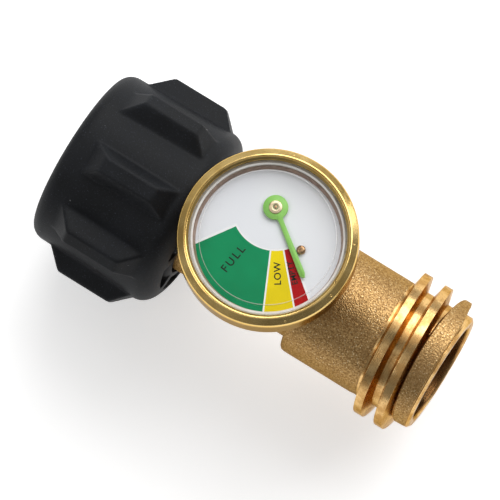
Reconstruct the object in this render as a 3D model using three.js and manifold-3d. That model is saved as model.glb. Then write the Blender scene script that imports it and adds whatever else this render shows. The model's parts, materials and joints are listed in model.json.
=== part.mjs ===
// In-line propane gauge adapter: a ribbed handwheel screws onto the tank, the gas passes a cast brass
// body that carries a 1.5 in pressure gauge, and leaves through a coarse male thread.
// Millimetres. X is the flow axis and starts at the handwheel's open face, the gauge faces +Z.
import * as THREE from 'three';
import { mergeVertices } from 'three/addons/utils/BufferGeometryUtils.js';
import Module from 'manifold-3d';

const wasm = await Module();
wasm.setup();

// ---------------------------------------------------------------- driving sizes
const FIT = 0.06;               // radial clearance of pieces that are pressed or screwed together
const RUN = 0.08;               // radial and axial running clearance
const ROUND = 36;               // sides of the gauge's round pieces

const thread = { major: 33.3, pitch: 5.08, depth: 3.1, crest: 1.9, flank: 14.5, clearance: 0.3 };

const wheel = {                 // handwheel
  length: 30.9, rimR: 20.25, waistR: 20.7, rimRound: 3.0,
  ribs: 8, ribPhase: 8.4, ribR: 24.35, ribStart: 5.4, ribEnd: 26.6, ribSlope: 4.2,
  ribCrest: 3.6, ribFoot: 6.9, wallFront: 23.3, wallBack: 27.4, mouthChamfer: 0.5,
  pocketInner: 13.2, pocketOuter: 17.0, pocketDepth: 2.6, web: 2.4,
};
const nipple = {
  tip: 1.5, probeR: 6.0, noseBore: 3.4, bore: 4.2, boreStart: 7.0, flangeStart: 15.0, flangeEnd: 18.4,
  flangeR: 11.4, shankR: 7.4, tailR: 6.85, grooveStart: 3.4, grooveWidth: 2.2, grooveDepth: 1.3,
};
const bushing = { flangeR: 12.6, wall: 2.1, play: 1.5, gapToNeck: 0.2 };
const body = {                  // the thread's lengths run back from the outlet's end face
  neckR: 10.8, neckRun: 10.1, tubeLength: 32.7, tubeR: 13.5, shoulder: 2.0, socketDepth: 10.4, passageR: 4.2,
  bandLength: 14.9, bandDrop: 0.12, threadLength: 13.35, threadTurns: [-0.3, 2.06], rim: 2.1, rimLift: 0.15,
  rimChamfer: 0.5, runout: { from: -10, to: 182, tall: 16.5, low: 13.9 }, mouthWall: 2.5, mouthDepth: 9.2, seatLip: 1.55, seatDepth: 5.5, springLip: 2.2,
  springDepth: 13.0, bossR: 9.6, bossLift: 1.8,
};
const gauge = {
  clear: 1.4, stemR: 4.9, stemHole: 1.0, stemWall: 1.0, collarR: 7.6, collar: 3.4, washer: 0.8, sheet: 0.8,
  bezelR: 19.05, bezelSheet: 1.0, bezelFace: 2.5, bezelLift: 2.95, crimp: 0.8, flangeStep: 1.35,
  cupDepth: 11.6, flangeDepth: 1.8, dialSheet: 0.5, gasket: 1.3, gasketWide: 1.9, lensEdge: 1.2,
  lensRaise: 0.7, lensSlope: 2.25,
};
const move = {                  // gauge movement, sizes about the gauge's own axis
  pivot: [-2.35, 6.65], module: 0.26, pinionTeeth: 10, gearRatio: 5, tail: 4.2, tipInset: 1.2, tipLead: 5.5,
  arm: 2.05, plate: 0.8, plateGap: 6.4, gearLift: 2.6, gearSheet: 0.8, tubeGap: 3.2, tubeSheet: 0.3,
  tubeWide: 1.5, tubeTall: 6.4, socketAt: -30, pinR: 0.35, slot: 1.7,
  pillars: [[7.2, 2.0], [-8.0, 4.2]], footScrews: [2.6, 8.0],
};
const hand = {                  // pointer on the dial
  rest: -36.7, length: 16.2, width: 1.3, hubR: 2.64, sheet: 0.4, lift: 0.4, bushR: 1.43, bushTall: 0.8,
  stopRadius: 10.5, stopR: 0.95, stopTall: 1.0,
};
const check = { headR: 6.95, head: 1.7, stemR: 3.0, stemTall: 4.4, guideR: 2.0, guide: 7.2, travel: 4.0 };
const poppet = { headR: 3.2, from: 21.4, head: 2.6, coneR: 2.3, cone: 0.9, travel: 3.0, seatFrom: 28.0, seat: 2.0 };

// ---------------------------------------------------------------- places that follow from the sizes
const threadR = thread.major / 2;
const coreR = threadR - thread.depth;
const flankRun = 2 * Math.tan((thread.flank * Math.PI) / 180);
const neckFrom = wheel.wallBack + bushing.gapToNeck;
const neckGapR = body.neckR + 0.8;
const sleeveR = nipple.shankR + RUN + bushing.wall;

const mouthR = body.tubeR + body.rimLift - body.mouthWall;
const seatR = mouthR - body.seatLip;
const springR = seatR - body.springLip;

const flangeR = gauge.bezelR - gauge.bezelSheet - 0.1;
const caseR = flangeR - gauge.flangeStep;
const gaugeX = wheel.length + caseR + gauge.clear;
const tubeFrom = gaugeX + body.neckRun;
const bodyEnd = tubeFrom + body.tubeLength;
const rimFrom = bodyEnd - body.rim;
const mouthFloor = bodyEnd - body.mouthDepth;
const seatFloor = mouthFloor - body.seatDepth;
const springFloor = seatFloor - body.springDepth;
const bossTop = body.neckR + body.bossLift;
const washerTop = bossTop + gauge.washer;
const floor = washerTop + gauge.collar;
const floorTop = floor + gauge.sheet;
const flangeFrom = floor + gauge.cupDepth;
const dialSeat = flangeFrom + gauge.flangeDepth;
const dialTop = dialSeat + gauge.dialSheet;
const caseTop = dialTop + gauge.gasket;
const bezelTop = caseTop + gauge.bezelLift;
const windowR = gauge.bezelR - gauge.bezelFace;
const stemFoot = body.passageR + gauge.stemWall;

const barTop = floorTop + move.arm;
const plateFrom = barTop + 0.05;
const plateTop = plateFrom + move.plate;
const topPlateFrom = plateTop + move.plateGap;
const topPlateTop = topPlateFrom + 0.6;
const gearFrom = plateTop + move.gearLift;
const gearTop = gearFrom + move.gearSheet;
const coilR = caseR - gauge.sheet - move.tubeGap;
const tubeLow = barTop - 0.35;

// ---------------------------------------------------------------- solids
const rad = THREE.MathUtils.degToRad;
const polar = (r, deg, c = [0, 0]) => [c[0] + r * Math.cos(rad(deg)), c[1] + r * Math.sin(rad(deg))];

function mesh(points, faces) {  // closed mesh from points and faces, turned to face outwards
  const g = new THREE.BufferGeometry();
  g.setAttribute('position', new THREE.Float32BufferAttribute(points.flat(), 3));
  let volume = 0;
  for (const [i, j, k] of faces) {
    const [a, b, c] = [i, j, k].map((n) => new THREE.Vector3(...points[n]));
    volume += a.dot(b.cross(c));
  }
  g.setIndex(faces.flatMap(([i, j, k]) => (volume < 0 ? [i, k, j] : [i, j, k])));
  return g;
}

// A profile of [along, radius] turned about the axis. It closes on itself, or starts and ends at radius 0.
function turned(profile, seg = 28) {
  const points = [], rings = [], faces = [];
  for (const [a, r] of profile) {
    const ring = [];
    for (let i = 0; i < (r < 1e-9 ? 1 : seg); i++) {
      const t = (2 * Math.PI * i) / seg;
      ring.push(points.push([r * Math.cos(t), r * Math.sin(t), a]) - 1);
    }
    rings.push(ring);
  }
  const open = profile[0][1] < 1e-9;
  for (let k = 0; k < rings.length - (open ? 1 : 0); k++) {
    const p = rings[k], q = rings[(k + 1) % rings.length];
    for (let i = 0; i < seg; i++) {
      const j = (i + 1) % seg;
      if (p.length > 1) faces.push([p[i], p[j], q.length > 1 ? q[j] : q[0]]);
      if (q.length > 1) faces.push([p.length > 1 ? p[i] : p[0], q[j], q[i]]);
    }
  }
  return mesh(points, faces);
}

function plain(g) {             // welded copy without normals, as the booleans need
  const c = g.clone();
  c.deleteAttribute('normal');
  c.deleteAttribute('uv');
  return mergeVertices(c, 1e-5);
}

function slab(outline, from, to, holes = []) {
  const shape = new THREE.Shape(outline.map((p) => new THREE.Vector2(...p)));
  shape.holes = holes.map((h) => new THREE.Path(h.map((p) => new THREE.Vector2(...p))));
  const g = new THREE.ExtrudeGeometry(shape, { depth: to - from, bevelEnabled: false, steps: 1 });
  return plain(g).translate(0, 0, from);
}

const circle = (r, c = [0, 0], n = 24, start = 0) =>
  Array.from({ length: n }, (_, i) => polar(r, start + (360 * i) / n, c));

function bar(a, b, width, n = 8) {      // outline with round ends
  const dir = THREE.MathUtils.radToDeg(Math.atan2(b[1] - a[1], b[0] - a[0]));
  const end = (c, from) => Array.from({ length: n + 1 }, (_, i) => polar(width / 2, from + (180 * i) / n, c));
  return [...end(a, dir + 90), ...end(b, dir - 90)];
}

// A closed section carried through a list of frames {o, u, v}; ends are capped, or joined if it is a loop.
function swept(frames, section, inner = null) {
  const points = [], faces = [], n = section.length;
  const lay = (s) => frames.map(({ o, u, v }) => s.map(([a, b]) =>
    points.push(o.map((c, i) => c + a * u[i] + b * v[i])) - 1));
  const walls = (rings, flip) => {
    for (let k = 0; k + 1 < rings.length; k++) {
      for (let i = 0; i < n; i++) {
        const j = (i + 1) % n, [a, b, c, d] = [rings[k][i], rings[k][j], rings[k + 1][j], rings[k + 1][i]];
        faces.push(...(flip ? [[a, c, b], [a, d, c]] : [[a, b, c], [a, c, d]]));
      }
    }
  };
  const cap = (ring, flip) => {
    for (let i = 1; i + 1 < n; i++) faces.push(flip ? [ring[0], ring[i + 1], ring[i]] : [ring[0], ring[i], ring[i + 1]]);
  };
  const outer = lay(section);
  walls(outer, false);
  cap(outer.at(-1), false);
  if (!inner) cap(outer[0], true);
  else {                        // hollow, open at the first frame and closed before the last one
    const bore = lay(inner).slice(0, -1);
    walls(bore, true);
    cap(bore.at(-1), true);
    for (let i = 0; i < n; i++) {
      const j = (i + 1) % n;
      faces.push([outer[0][i], bore[0][i], bore[0][j]], [outer[0][i], bore[0][j], outer[0][j]]);
    }
  }
  return mesh(points, faces);
}

const toX = new THREE.Matrix4().set(0, 0, 1, 0, 1, 0, 0, 0, 0, 1, 0, 0, 0, 0, 0, 1);
const alongX = (g) => g.applyMatrix4(toX);      // built along Z, laid along X
const atGauge = (g) => g.translate(gaugeX, 0, 0);

function solidOf(g) {
  const m = plain(g);
  return new wasm.Manifold(new wasm.Mesh({
    numProp: 3, vertProperties: new Float32Array(m.attributes.position.array),
    triVerts: new Uint32Array(m.index.array),
  }));
}

function fromSolid(m) {
  const out = m.getMesh(), g = new THREE.BufferGeometry();
  g.setAttribute('position', new THREE.Float32BufferAttribute(out.vertProperties, 3));
  g.setIndex(Array.from(out.triVerts));
  return g;
}

const join = (first, ...rest) => fromSolid(rest.reduce((m, g) => m.add(solidOf(g)), solidOf(first)));
const cut = (first, ...rest) => fromSolid(rest.reduce((m, g) => m.subtract(solidOf(g)), solidOf(first)));

// Helical ridge about the axis, from radius root to radius tip, fading out over the end turns given.
function helixRidge({ at, turns, root, tip, rootWidth, tipWidth, fadeIn, fadeOut, seg = 24 }) {
  const [t0, t1] = turns, n = Math.ceil((t1 - t0) * seg), frames = [], sections = [];
  const inward = Math.sign(root - tip) * 0.15;
  for (let i = 0; i <= n; i++) {
    const t = t0 + ((t1 - t0) * i) / n, a = 2 * Math.PI * t;
    const k = Math.min(1, (t - t0) / fadeIn + 0.06, (t1 - t) / fadeOut + 0.06);
    const r = root + (tip - root) * k, w = rootWidth + (tipWidth - rootWidth) * k;
    frames.push({ o: [0, 0, at + thread.pitch * t], c: [Math.cos(a), Math.sin(a)] });
    sections.push([[-rootWidth / 2, root + inward], [-w / 2, r], [w / 2, r], [rootWidth / 2, root + inward]]);
  }
  const points = [], faces = [];
  frames.forEach(({ o, c }, i) => sections[i].forEach(([z, r]) => points.push([r * c[0], r * c[1], o[2] + z])));
  for (let k = 0; k < n; k++) {
    for (let i = 0; i < 4; i++) {
      const a = 4 * k + i, b = 4 * k + ((i + 1) % 4);
      faces.push([a, b, b + 4], [a, b + 4, a + 4]);
    }
  }
  const e = 4 * n;
  faces.push([0, 2, 1], [0, 3, 2], [e, e + 1, e + 2], [e, e + 2, e + 3]);
  return mesh(points, faces);
}

function coil({ from, to, r, wire, turns, seg = 12, sides = 5 }) {      // coil spring with closed end turns
  const frames = [], n = Math.round(turns * seg), dead = 0.9;
  for (let i = 0; i <= n; i++) {
    const t = (turns * i) / n, a = 2 * Math.PI * t;
    const live = THREE.MathUtils.clamp((t - dead) / (turns - 2 * dead), 0, 1);
    const shut = 2.1 * wire * Math.min(t, dead), shutEnd = 2.1 * wire * Math.max(0, t - turns + dead);
    const rise = to - from - 2 * wire - 4.2 * wire * dead;
    frames.push({
      o: [r * Math.cos(a), r * Math.sin(a), from + wire + shut + shutEnd + rise * live],
      u: [Math.cos(a), Math.sin(a), 0], v: [0, 0, 1],
    });
  }
  return swept(frames, circle(wire, [0, 0], sides));
}

const screw = (c, from, to, r, headR, head) => turned([
  [from, 0], [from, r], [to, r], [to, headR], [to + head * 0.6, headR], [to + head, headR * 0.7], [to + head, 0],
], 12).translate(c[0], c[1], 0);

// ---------------------------------------------------------------- colours
const finish = {
  black: { color: 0x1b1b1d, roughness: 0.55, metalness: 0 },
  cast: { color: 0xa07f50, roughness: 0.5, metalness: 0.9 },
  brass: { color: 0xc9a35e, roughness: 0.25, metalness: 1 },
  gold: { color: 0xd9b154, roughness: 0.12, metalness: 1 },
  steel: { color: 0xb8babd, roughness: 0.3, metalness: 1 },
  rubber: { color: 0x202020, roughness: 0.8, metalness: 0 },
  bushing: { color: 0x3a3d2c, roughness: 0.5, metalness: 0 },
  clear: { color: 0xf4f7f8, roughness: 0.05, metalness: 0, transparent: true, opacity: 0.18 },
  pale: { color: 0xe6e3da, roughness: 0.4, metalness: 0 },
  dial: { color: 0xe3e4e8, roughness: 0.35, metalness: 0 },
  lime: { color: 0x8cc65c, roughness: 0.4, metalness: 0 },
  bronze: { color: 0xb08a4c, roughness: 0.3, metalness: 1 },
  copper: { color: 0xb07b52, roughness: 0.3, metalness: 1 },
};

const assembly = new THREE.Group();
assembly.name = 'propane_gauge_adapter';
function add(name, geometry, look) {
  const g = geometry.index ? geometry.toNonIndexed() : geometry;
  g.computeVertexNormals();
  const m = new THREE.Mesh(g, new THREE.MeshStandardMaterial(finish[look]));
  m.name = name;
  assembly.add(m);
}

// ---------------------------------------------------------------- handwheel
const step = 360 / wheel.ribs;
const ribAngles = Array.from({ length: wheel.ribs }, (_, i) => wheel.ribPhase + step * i);
function wheelShell() {
  const w = wheel, bore = threadR + thread.clearance, dome = w.length - w.ribEnd;
  const outer = [[0, bore + w.mouthChamfer], [0, w.rimR - w.rimRound * 0.8]];
  for (const a of [25, 50, 72]) {
    outer.push([w.rimRound * (1 - Math.cos(rad(a))), w.rimR - w.rimRound * 0.8 * (1 - Math.sin(rad(a)))]);
  }
  outer.push([w.rimRound + 0.8, w.rimR], [w.ribEnd - 0.4, w.waistR]);
  for (const [k, r] of [[0.28, 0.965], [0.52, 0.85], [0.75, 0.7], [0.92, 0.52]]) {
    outer.push([w.ribEnd + dome * k, neckGapR + (w.waistR - neckGapR) * (r - 0.52) / 0.45 * 0.97 + 0.3]);
  }
  return turned([
    ...outer, [w.length, neckGapR + 0.9], [w.length, neckGapR], [w.wallBack, neckGapR],
    [w.wallBack, sleeveR + RUN], [w.wallFront, sleeveR + RUN], [w.wallFront, bore],
    [w.mouthChamfer, bore],
  ], 40);
}

function rib(deg) {             // tapered block with sloped ends and sides, its foot sunk in the shell
  const w = wheel, foot = w.rimR - 1.2, e = w.ribSlope, t = rad(deg);
  const level = (r, x0, x1, half) => [[x0, -half], [x1, -half], [x1, half], [x0, half]].map(([x, s]) =>
    [r * Math.cos(t) - s * Math.sin(t), r * Math.sin(t) + s * Math.cos(t), x]);
  const low = level(foot, w.ribStart - 0.9, w.ribEnd + 0.9, w.ribFoot / 2 + 0.8);
  const high = level(w.ribR, w.ribStart + e, w.ribEnd - e, w.ribCrest / 2);
  const faces = [[0, 2, 1], [0, 3, 2], [4, 5, 6], [4, 6, 7]];
  for (let i = 0; i < 4; i++) faces.push([i, (i + 1) % 4, 4 + ((i + 1) % 4)], [i, 4 + ((i + 1) % 4), 4 + i]);
  return mesh([...low, ...high], faces);
}

function pocket(deg) {          // one lightening pocket in the back of the handwheel, between two webs
  const w = wheel, outline = [];
  const half = (r) => step / 2 - THREE.MathUtils.radToDeg(w.web / 2 / r);
  for (let i = 0; i <= 5; i++) outline.push(polar(w.pocketOuter, deg + half(w.pocketOuter) * (i / 2.5 - 1)));
  for (let i = 5; i >= 0; i--) outline.push(polar(w.pocketInner, deg + half(w.pocketInner) * (i / 2.5 - 1)));
  return slab(outline, w.length - w.pocketDepth, w.length + 1);
}

const innerThread = helixRidge({
  at: 3.2, turns: [0, 2.7], root: threadR + thread.clearance, tip: coreR + thread.clearance + 0.35,
  rootWidth: thread.pitch - thread.crest - 0.35, tipWidth: thread.pitch - thread.crest - flankRun * 2.2 / 2 - 0.6,
  fadeIn: 0.12, fadeOut: 0.12,
});
add('handwheel', alongX(cut(
  join(wheelShell(), ...ribAngles.map(rib), innerThread),
  ...ribAngles.map((a) => pocket(a + step / 2)),
)), 'black');

const bushFlange = nipple.flangeEnd + bushing.play;
add('thermal_bushing', alongX(turned([
  [bushFlange, nipple.shankR + RUN], [bushFlange, bushing.flangeR], [wheel.wallFront - RUN, bushing.flangeR],
  [wheel.wallFront - RUN, sleeveR], [wheel.wallBack, sleeveR],
  [wheel.wallBack, nipple.shankR + RUN],
])), 'bushing');

// ---------------------------------------------------------------- inlet nipple and excess-flow device
const tailEnd = neckFrom + body.socketDepth - 0.5;
{
  const n = nipple, g0 = n.grooveStart, g1 = g0 + n.grooveWidth, low = n.probeR - n.grooveDepth;
  add('inlet_nipple', alongX(turned([
    [n.tip, n.noseBore], [n.tip, n.probeR - 1.1], [n.tip + 0.35, n.probeR - 0.45], [n.tip + 1.1, n.probeR],
    [g0, n.probeR], [g0, low], [g1, low], [g1, n.probeR], [n.flangeStart - 2.4, n.probeR],
    [n.flangeStart, n.probeR + 1.4], [n.flangeStart + 0.4, n.flangeR], [n.flangeEnd, n.flangeR],
    [n.flangeEnd, n.shankR], [neckFrom, n.shankR], [neckFrom, n.tailR], [tailEnd, n.tailR],
    [tailEnd, n.bore], [n.boreStart, n.bore], [n.boreStart - 0.6, n.noseBore],
  ])), 'brass');
  const mid = (g0 + g1) / 2, ring = [];
  for (let i = 0; i < 8; i++) {
    const a = rad(45 * i);
    ring.push([mid + (n.grooveWidth / 2 - 0.1) * Math.cos(a), low + FIT + 0.8 + 0.8 * Math.sin(a)]);
  }
  add('nose_seal', alongX(turned(ring, 24)), 'rubber');
}
{
  const p = poppet, r = nipple.bore - FIT, end = p.from + p.head;
  add('flow_poppet', alongX(turned([
    [p.from, 0], [p.from, p.headR - 0.6], [p.from + 0.6, p.headR], [end, p.headR], [end, p.coneR],
    [end + p.cone, p.coneR - 0.9], [end + p.cone, 0],
  ], 24)), 'brass');
  add('flow_spring', alongX(coil({
    from: end + FIT, to: p.seatFrom - FIT, r: p.coneR + 0.5, wire: 0.26, turns: 4.5, seg: 12,
  })), 'steel');
  add('flow_seat_ring', alongX(turned([
    [p.seatFrom, p.coneR - 0.2], [p.seatFrom, r], [p.seatFrom + p.seat, r], [p.seatFrom + p.seat, p.coneR - 0.8],
    [p.seatFrom + 0.8, p.coneR - 0.8],
  ], 24)), 'brass');
  const gap = 28, arc = Array.from({ length: 25 }, (_, i) => gap / 2 + ((360 - gap) * i) / 24);
  add('flow_stop_clip', alongX(slab([
    ...arc.map((a) => polar(r - 0.05, a)), ...arc.reverse().map((a) => polar(p.headR - 0.9, a)),
  ], p.from - 0.9, p.from - 0.1)), 'steel');
}

// ---------------------------------------------------------------- body
const core = body.tubeR - body.bandDrop;
function bodyShell() {
  const b = body, s = b.shoulder, t = tubeFrom, band = bodyEnd - b.bandLength, rimR = b.tubeR + b.rimLift;
  const round = [];
  for (const a of [0, 30, 60, 90]) {
    round.push([t + 0.2 + s * (1 - Math.cos(rad(a))), b.tubeR - s * (1 - Math.sin(rad(a)))]);
  }
  return turned([
    [neckFrom, nipple.tailR + FIT], [neckFrom, b.neckR - 0.5], [neckFrom + 0.5, b.neckR], [t - 0.5, b.neckR],
    [t, b.neckR + 0.3], ...round, [band, b.tubeR], [band + 0.1, core], [rimFrom, core],
    [rimFrom, rimR], [bodyEnd - b.rimChamfer, rimR], [bodyEnd, rimR - b.rimChamfer],
    [bodyEnd, mouthR + 0.4], [bodyEnd - 0.5, mouthR], [mouthFloor, mouthR], [mouthFloor, seatR],
    [seatFloor, seatR], [seatFloor, springR], [springFloor, springR], [springFloor - 2.6, b.passageR],
    [neckFrom + b.socketDepth, b.passageR], [neckFrom + b.socketDepth, nipple.tailR + FIT],
  ], 36);
}
const outerThread = helixRidge({
  at: bodyEnd - body.threadLength, turns: body.threadTurns, root: core, tip: threadR,
  rootWidth: thread.crest + flankRun * (threadR - core), tipWidth: thread.crest, fadeIn: 0.16, fadeOut: 0.2,
  seg: 28,
});
// The last tooth is left as cast: a wide band whose radius falls away towards the outlet's rim.
function runoutBand() {
  const { from, to, tall, low } = body.runout, n = 16, points = [], faces = [];
  for (let i = 0; i <= n; i++) {
    const deg = from + ((to - from) * i) / n, k = (deg - from) / (to - from);
    const mid = 1.7 * Math.sin(Math.PI * k), open = THREE.MathUtils.smoothstep(k, 0, 0.4);
    const r = tall + (low - tall) * k, foot = (r - core) * 0.3;
    const back = rimFrom - 1.15 - mid, front = rimFrom - 0.4 + 1.85 * open;
    const section = [[back - foot, core - 0.2], [back, r], [front, r - 0.12 * open], [front + 0.02, core - 0.2]];
    for (const [x, level] of section) points.push([...polar(level, deg), x]);
  }
  for (let k = 0; k < n; k++) {
    for (let i = 0; i < 4; i++) {
      const a = 4 * k + i, b = 4 * k + ((i + 1) % 4);
      faces.push([a, b, b + 4], [a, b + 4, a + 4]);
    }
  }
  const e = 4 * n;
  faces.push([0, 2, 1], [0, 3, 2], [e, e + 1, e + 2], [e, e + 2, e + 3]);
  return mesh(points, faces);
}
{
  const b = body, g = gauge, foot = stemFoot - 0.2;
  const boss = atGauge(turned([
    [b.passageR + 1.5, 0], [b.passageR + 1.5, b.bossR], [bossTop - 0.4, b.bossR], [bossTop, b.bossR - 0.4],
    [bossTop, 0],
  ], 32));
  const tapping = atGauge(turned([
    [0, 0], [0, g.stemHole + 0.2], [foot, g.stemHole + 0.2], [foot, g.stemR + FIT], [bossTop + 1, g.stemR + FIT],
    [bossTop + 1, 0],
  ], 28));
  const faced = turned([
    [rimFrom, b.tubeR + b.rimLift], [rimFrom, threadR + 1], [bodyEnd + 1, threadR + 1],
    [bodyEnd + 1, b.tubeR + b.rimLift],
  ], 36);
  const shell = join(cut(join(bodyShell(), outerThread), faced), runoutBand());
  add('valve_body', cut(join(alongX(shell), boss), tapping), 'cast');
}

// ---------------------------------------------------------------- outlet check valve
{
  const c = check, r = seatR - FIT, hole = c.headR - 0.75, face = seatFloor + FIT;
  add('outlet_seat_ring', alongX(turned([
    [face, hole], [face, r], [face + 2.4, r], [face + 2.4, hole - 0.4], [face + 1.2, hole - 0.4],
  ])), 'brass');
  add('outlet_seal', alongX(turned([
    [face + 2.45, hole - 0.7], [face + 2.45, r], [mouthFloor - 0.15, r], [mouthFloor + 0.35, r - 0.9],
    [mouthFloor + 0.35, hole + 0.6], [face + 3.6, hole - 0.7],
  ])), 'rubber');
  const back = seatFloor - c.head;
  add('outlet_plunger', alongX(turned([
    [back - c.guide, 0], [back - c.guide, c.guideR - 0.4], [back - c.guide + 0.4, c.guideR], [back, c.guideR],
    [back, c.headR], [seatFloor - 0.4, c.headR], [seatFloor, c.headR - 0.4], [seatFloor, c.stemR + 0.6],
    [seatFloor + 0.6, c.stemR], [seatFloor + c.stemTall - 0.5, c.stemR], [seatFloor + c.stemTall, c.stemR - 0.5],
    [seatFloor + c.stemTall, 0],
  ], 24)), 'brass');
  const spider = springFloor + 0.1, spiderEnd = spider + 1.9;
  add('outlet_spring', alongX(coil({
    from: spiderEnd + FIT, to: back - FIT, r: 4.7, wire: 0.45, turns: 5.5, seg: 12,
  })), 'steel');
  add('spring_seat', alongX(slab(circle(springR - FIT, [0, 0], 36), spider, spiderEnd, [
    circle(c.guideR + RUN + 0.1, [0, 0], 20),
    ...[0, 1, 2, 3].map((i) => circle(1.1, polar(3.95, 45 + 90 * i), 12)),
  ])), 'brass');
}

// ---------------------------------------------------------------- gauge housing
const block = { in: coilR - 1.9, out: coilR + 1.9, half: 14 };
{
  const g = gauge, m = move, dir = m.socketAt;
  const sector = [];
  for (let i = 0; i <= 4; i++) sector.push(polar(block.out, dir - block.half + (block.half * i) / 2));
  for (let i = 4; i >= 0; i--) sector.push(polar(block.in, dir - block.half + (block.half * i) / 2));
  const stem = turned([
    [stemFoot, 0], [stemFoot, g.stemR - 0.5], [stemFoot + 0.5, g.stemR], [washerTop, g.stemR],
    [washerTop, g.collarR], [floor, g.collarR], [floor, g.stemR - 0.5], [floorTop + FIT, g.stemR - 0.5],
    [floorTop + FIT, 5.2], [barTop, 5.2], [barTop, 0],
  ], 28);
  const arm = slab(bar([0, 0], polar(coilR, dir), 6.0), floorTop + FIT, barTop);
  const foot = slab(sector, barTop - 0.4, tubeLow + m.tubeTall + 0.3);
  const drill = turned([[0, 0], [0, g.stemHole], [barTop - 0.8, g.stemHole], [barTop - 0.8, 0]], 16);
  const taps = m.footScrews.map((d) => {
    const c = polar(d, dir);
    return turned([[barTop - 1.0, 0], [barTop - 1.0, 0.5], [barTop + 1, 0.5], [barTop + 1, 0]], 12)
      .translate(c[0], c[1], 0);
  });
  const hollow = m.footScrews[0] - 1.0 > g.stemHole ? [drill] : [];
  add('gauge_stem', atGauge(cut(join(stem, arm, foot), ...hollow, ...taps)), 'brass');
  add('stem_washer', atGauge(turned([
    [bossTop, g.stemR + FIT], [bossTop, g.collarR + 0.4], [washerTop, g.collarR + 0.4],
    [washerTop, g.stemR + FIT],
  ], 28)), 'rubber');
  add('gauge_case', atGauge(turned([
    [floor, g.stemR], [floor, caseR - 0.6], [floor + 0.6, caseR], [flangeFrom, caseR],
    [flangeFrom, flangeR], [caseTop, flangeR], [caseTop, flangeR - g.sheet],
    [dialSeat, flangeR - g.sheet], [dialSeat, caseR - g.sheet], [floorTop, caseR - g.sheet],
    [floorTop, g.stemR],
  ], ROUND)), 'gold');
  const lensFlat = caseTop + g.lensEdge, under = lensFlat + 0.1, holdR = flangeR + 0.1;
  const b = g.bezelR, top = bezelTop, w = windowR, low = flangeFrom - g.crimp, raiseR = w - g.lensSlope;
  add('bezel', atGauge(turned([
    [low, caseR + 0.4], [low, b - 0.45], [low + 0.4, b], [top - 2.0, b],
    [top - 1.1, b - 0.22], [top - 0.42, b - 0.7], [top, b - 1.3], [top - 0.05, b - 1.75], [top - 0.6, w],
    [under, w], [under, holdR], [flangeFrom - 0.05, holdR], [flangeFrom - 0.05, caseR + 0.4],
  ], 48)), 'gold');
  add('window_lens', atGauge(turned([
    [caseTop, 0], [caseTop, flangeR], [lensFlat, flangeR], [lensFlat, raiseR + g.lensRaise],
    [lensFlat + g.lensRaise, raiseR], [lensFlat + g.lensRaise, 0],
  ], ROUND)), 'clear');
  const dialR = flangeR - g.sheet - FIT;
  add('window_gasket', atGauge(turned([
    [dialTop, dialR - g.gasketWide], [dialTop, dialR], [caseTop, dialR], [caseTop, dialR - g.gasketWide],
  ], ROUND)), 'pale');
  add('dial', atGauge(slab(circle(dialR, [0, 0], ROUND), dialSeat, dialTop, [circle(1.0, m.pivot, 16)])), 'dial');
  const lean = THREE.MathUtils.radToDeg(Math.asin((hand.stopR + hand.width / 2 + RUN) / hand.stopRadius));
  const pin = polar(hand.stopRadius, hand.rest + lean, m.pivot);
  add('stop_pin', atGauge(turned([
    [dialTop, 0], [dialTop, hand.stopR], [dialTop + hand.stopTall - 0.2, hand.stopR],
    [dialTop + hand.stopTall, hand.stopR - 0.25], [dialTop + hand.stopTall, 0],
  ], 20).translate(pin[0], pin[1], 0)), 'copper');
}

// ---------------------------------------------------------------- gauge movement
const pinionR = (move.module * move.pinionTeeth) / 2;
const sectorR = pinionR * move.gearRatio;
const sectorAt = [move.pivot[0], move.pivot[1] - pinionR - sectorR];
const tailAt = [sectorAt[0] - move.tail, sectorAt[1]];
const tipAt = [tailAt[0], -Math.sqrt((coilR - move.tipInset) ** 2 - tailAt[0] ** 2)];
const tipAngle = 360 + THREE.MathUtils.radToDeg(Math.atan2(tipAt[1], tipAt[0]));

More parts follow.
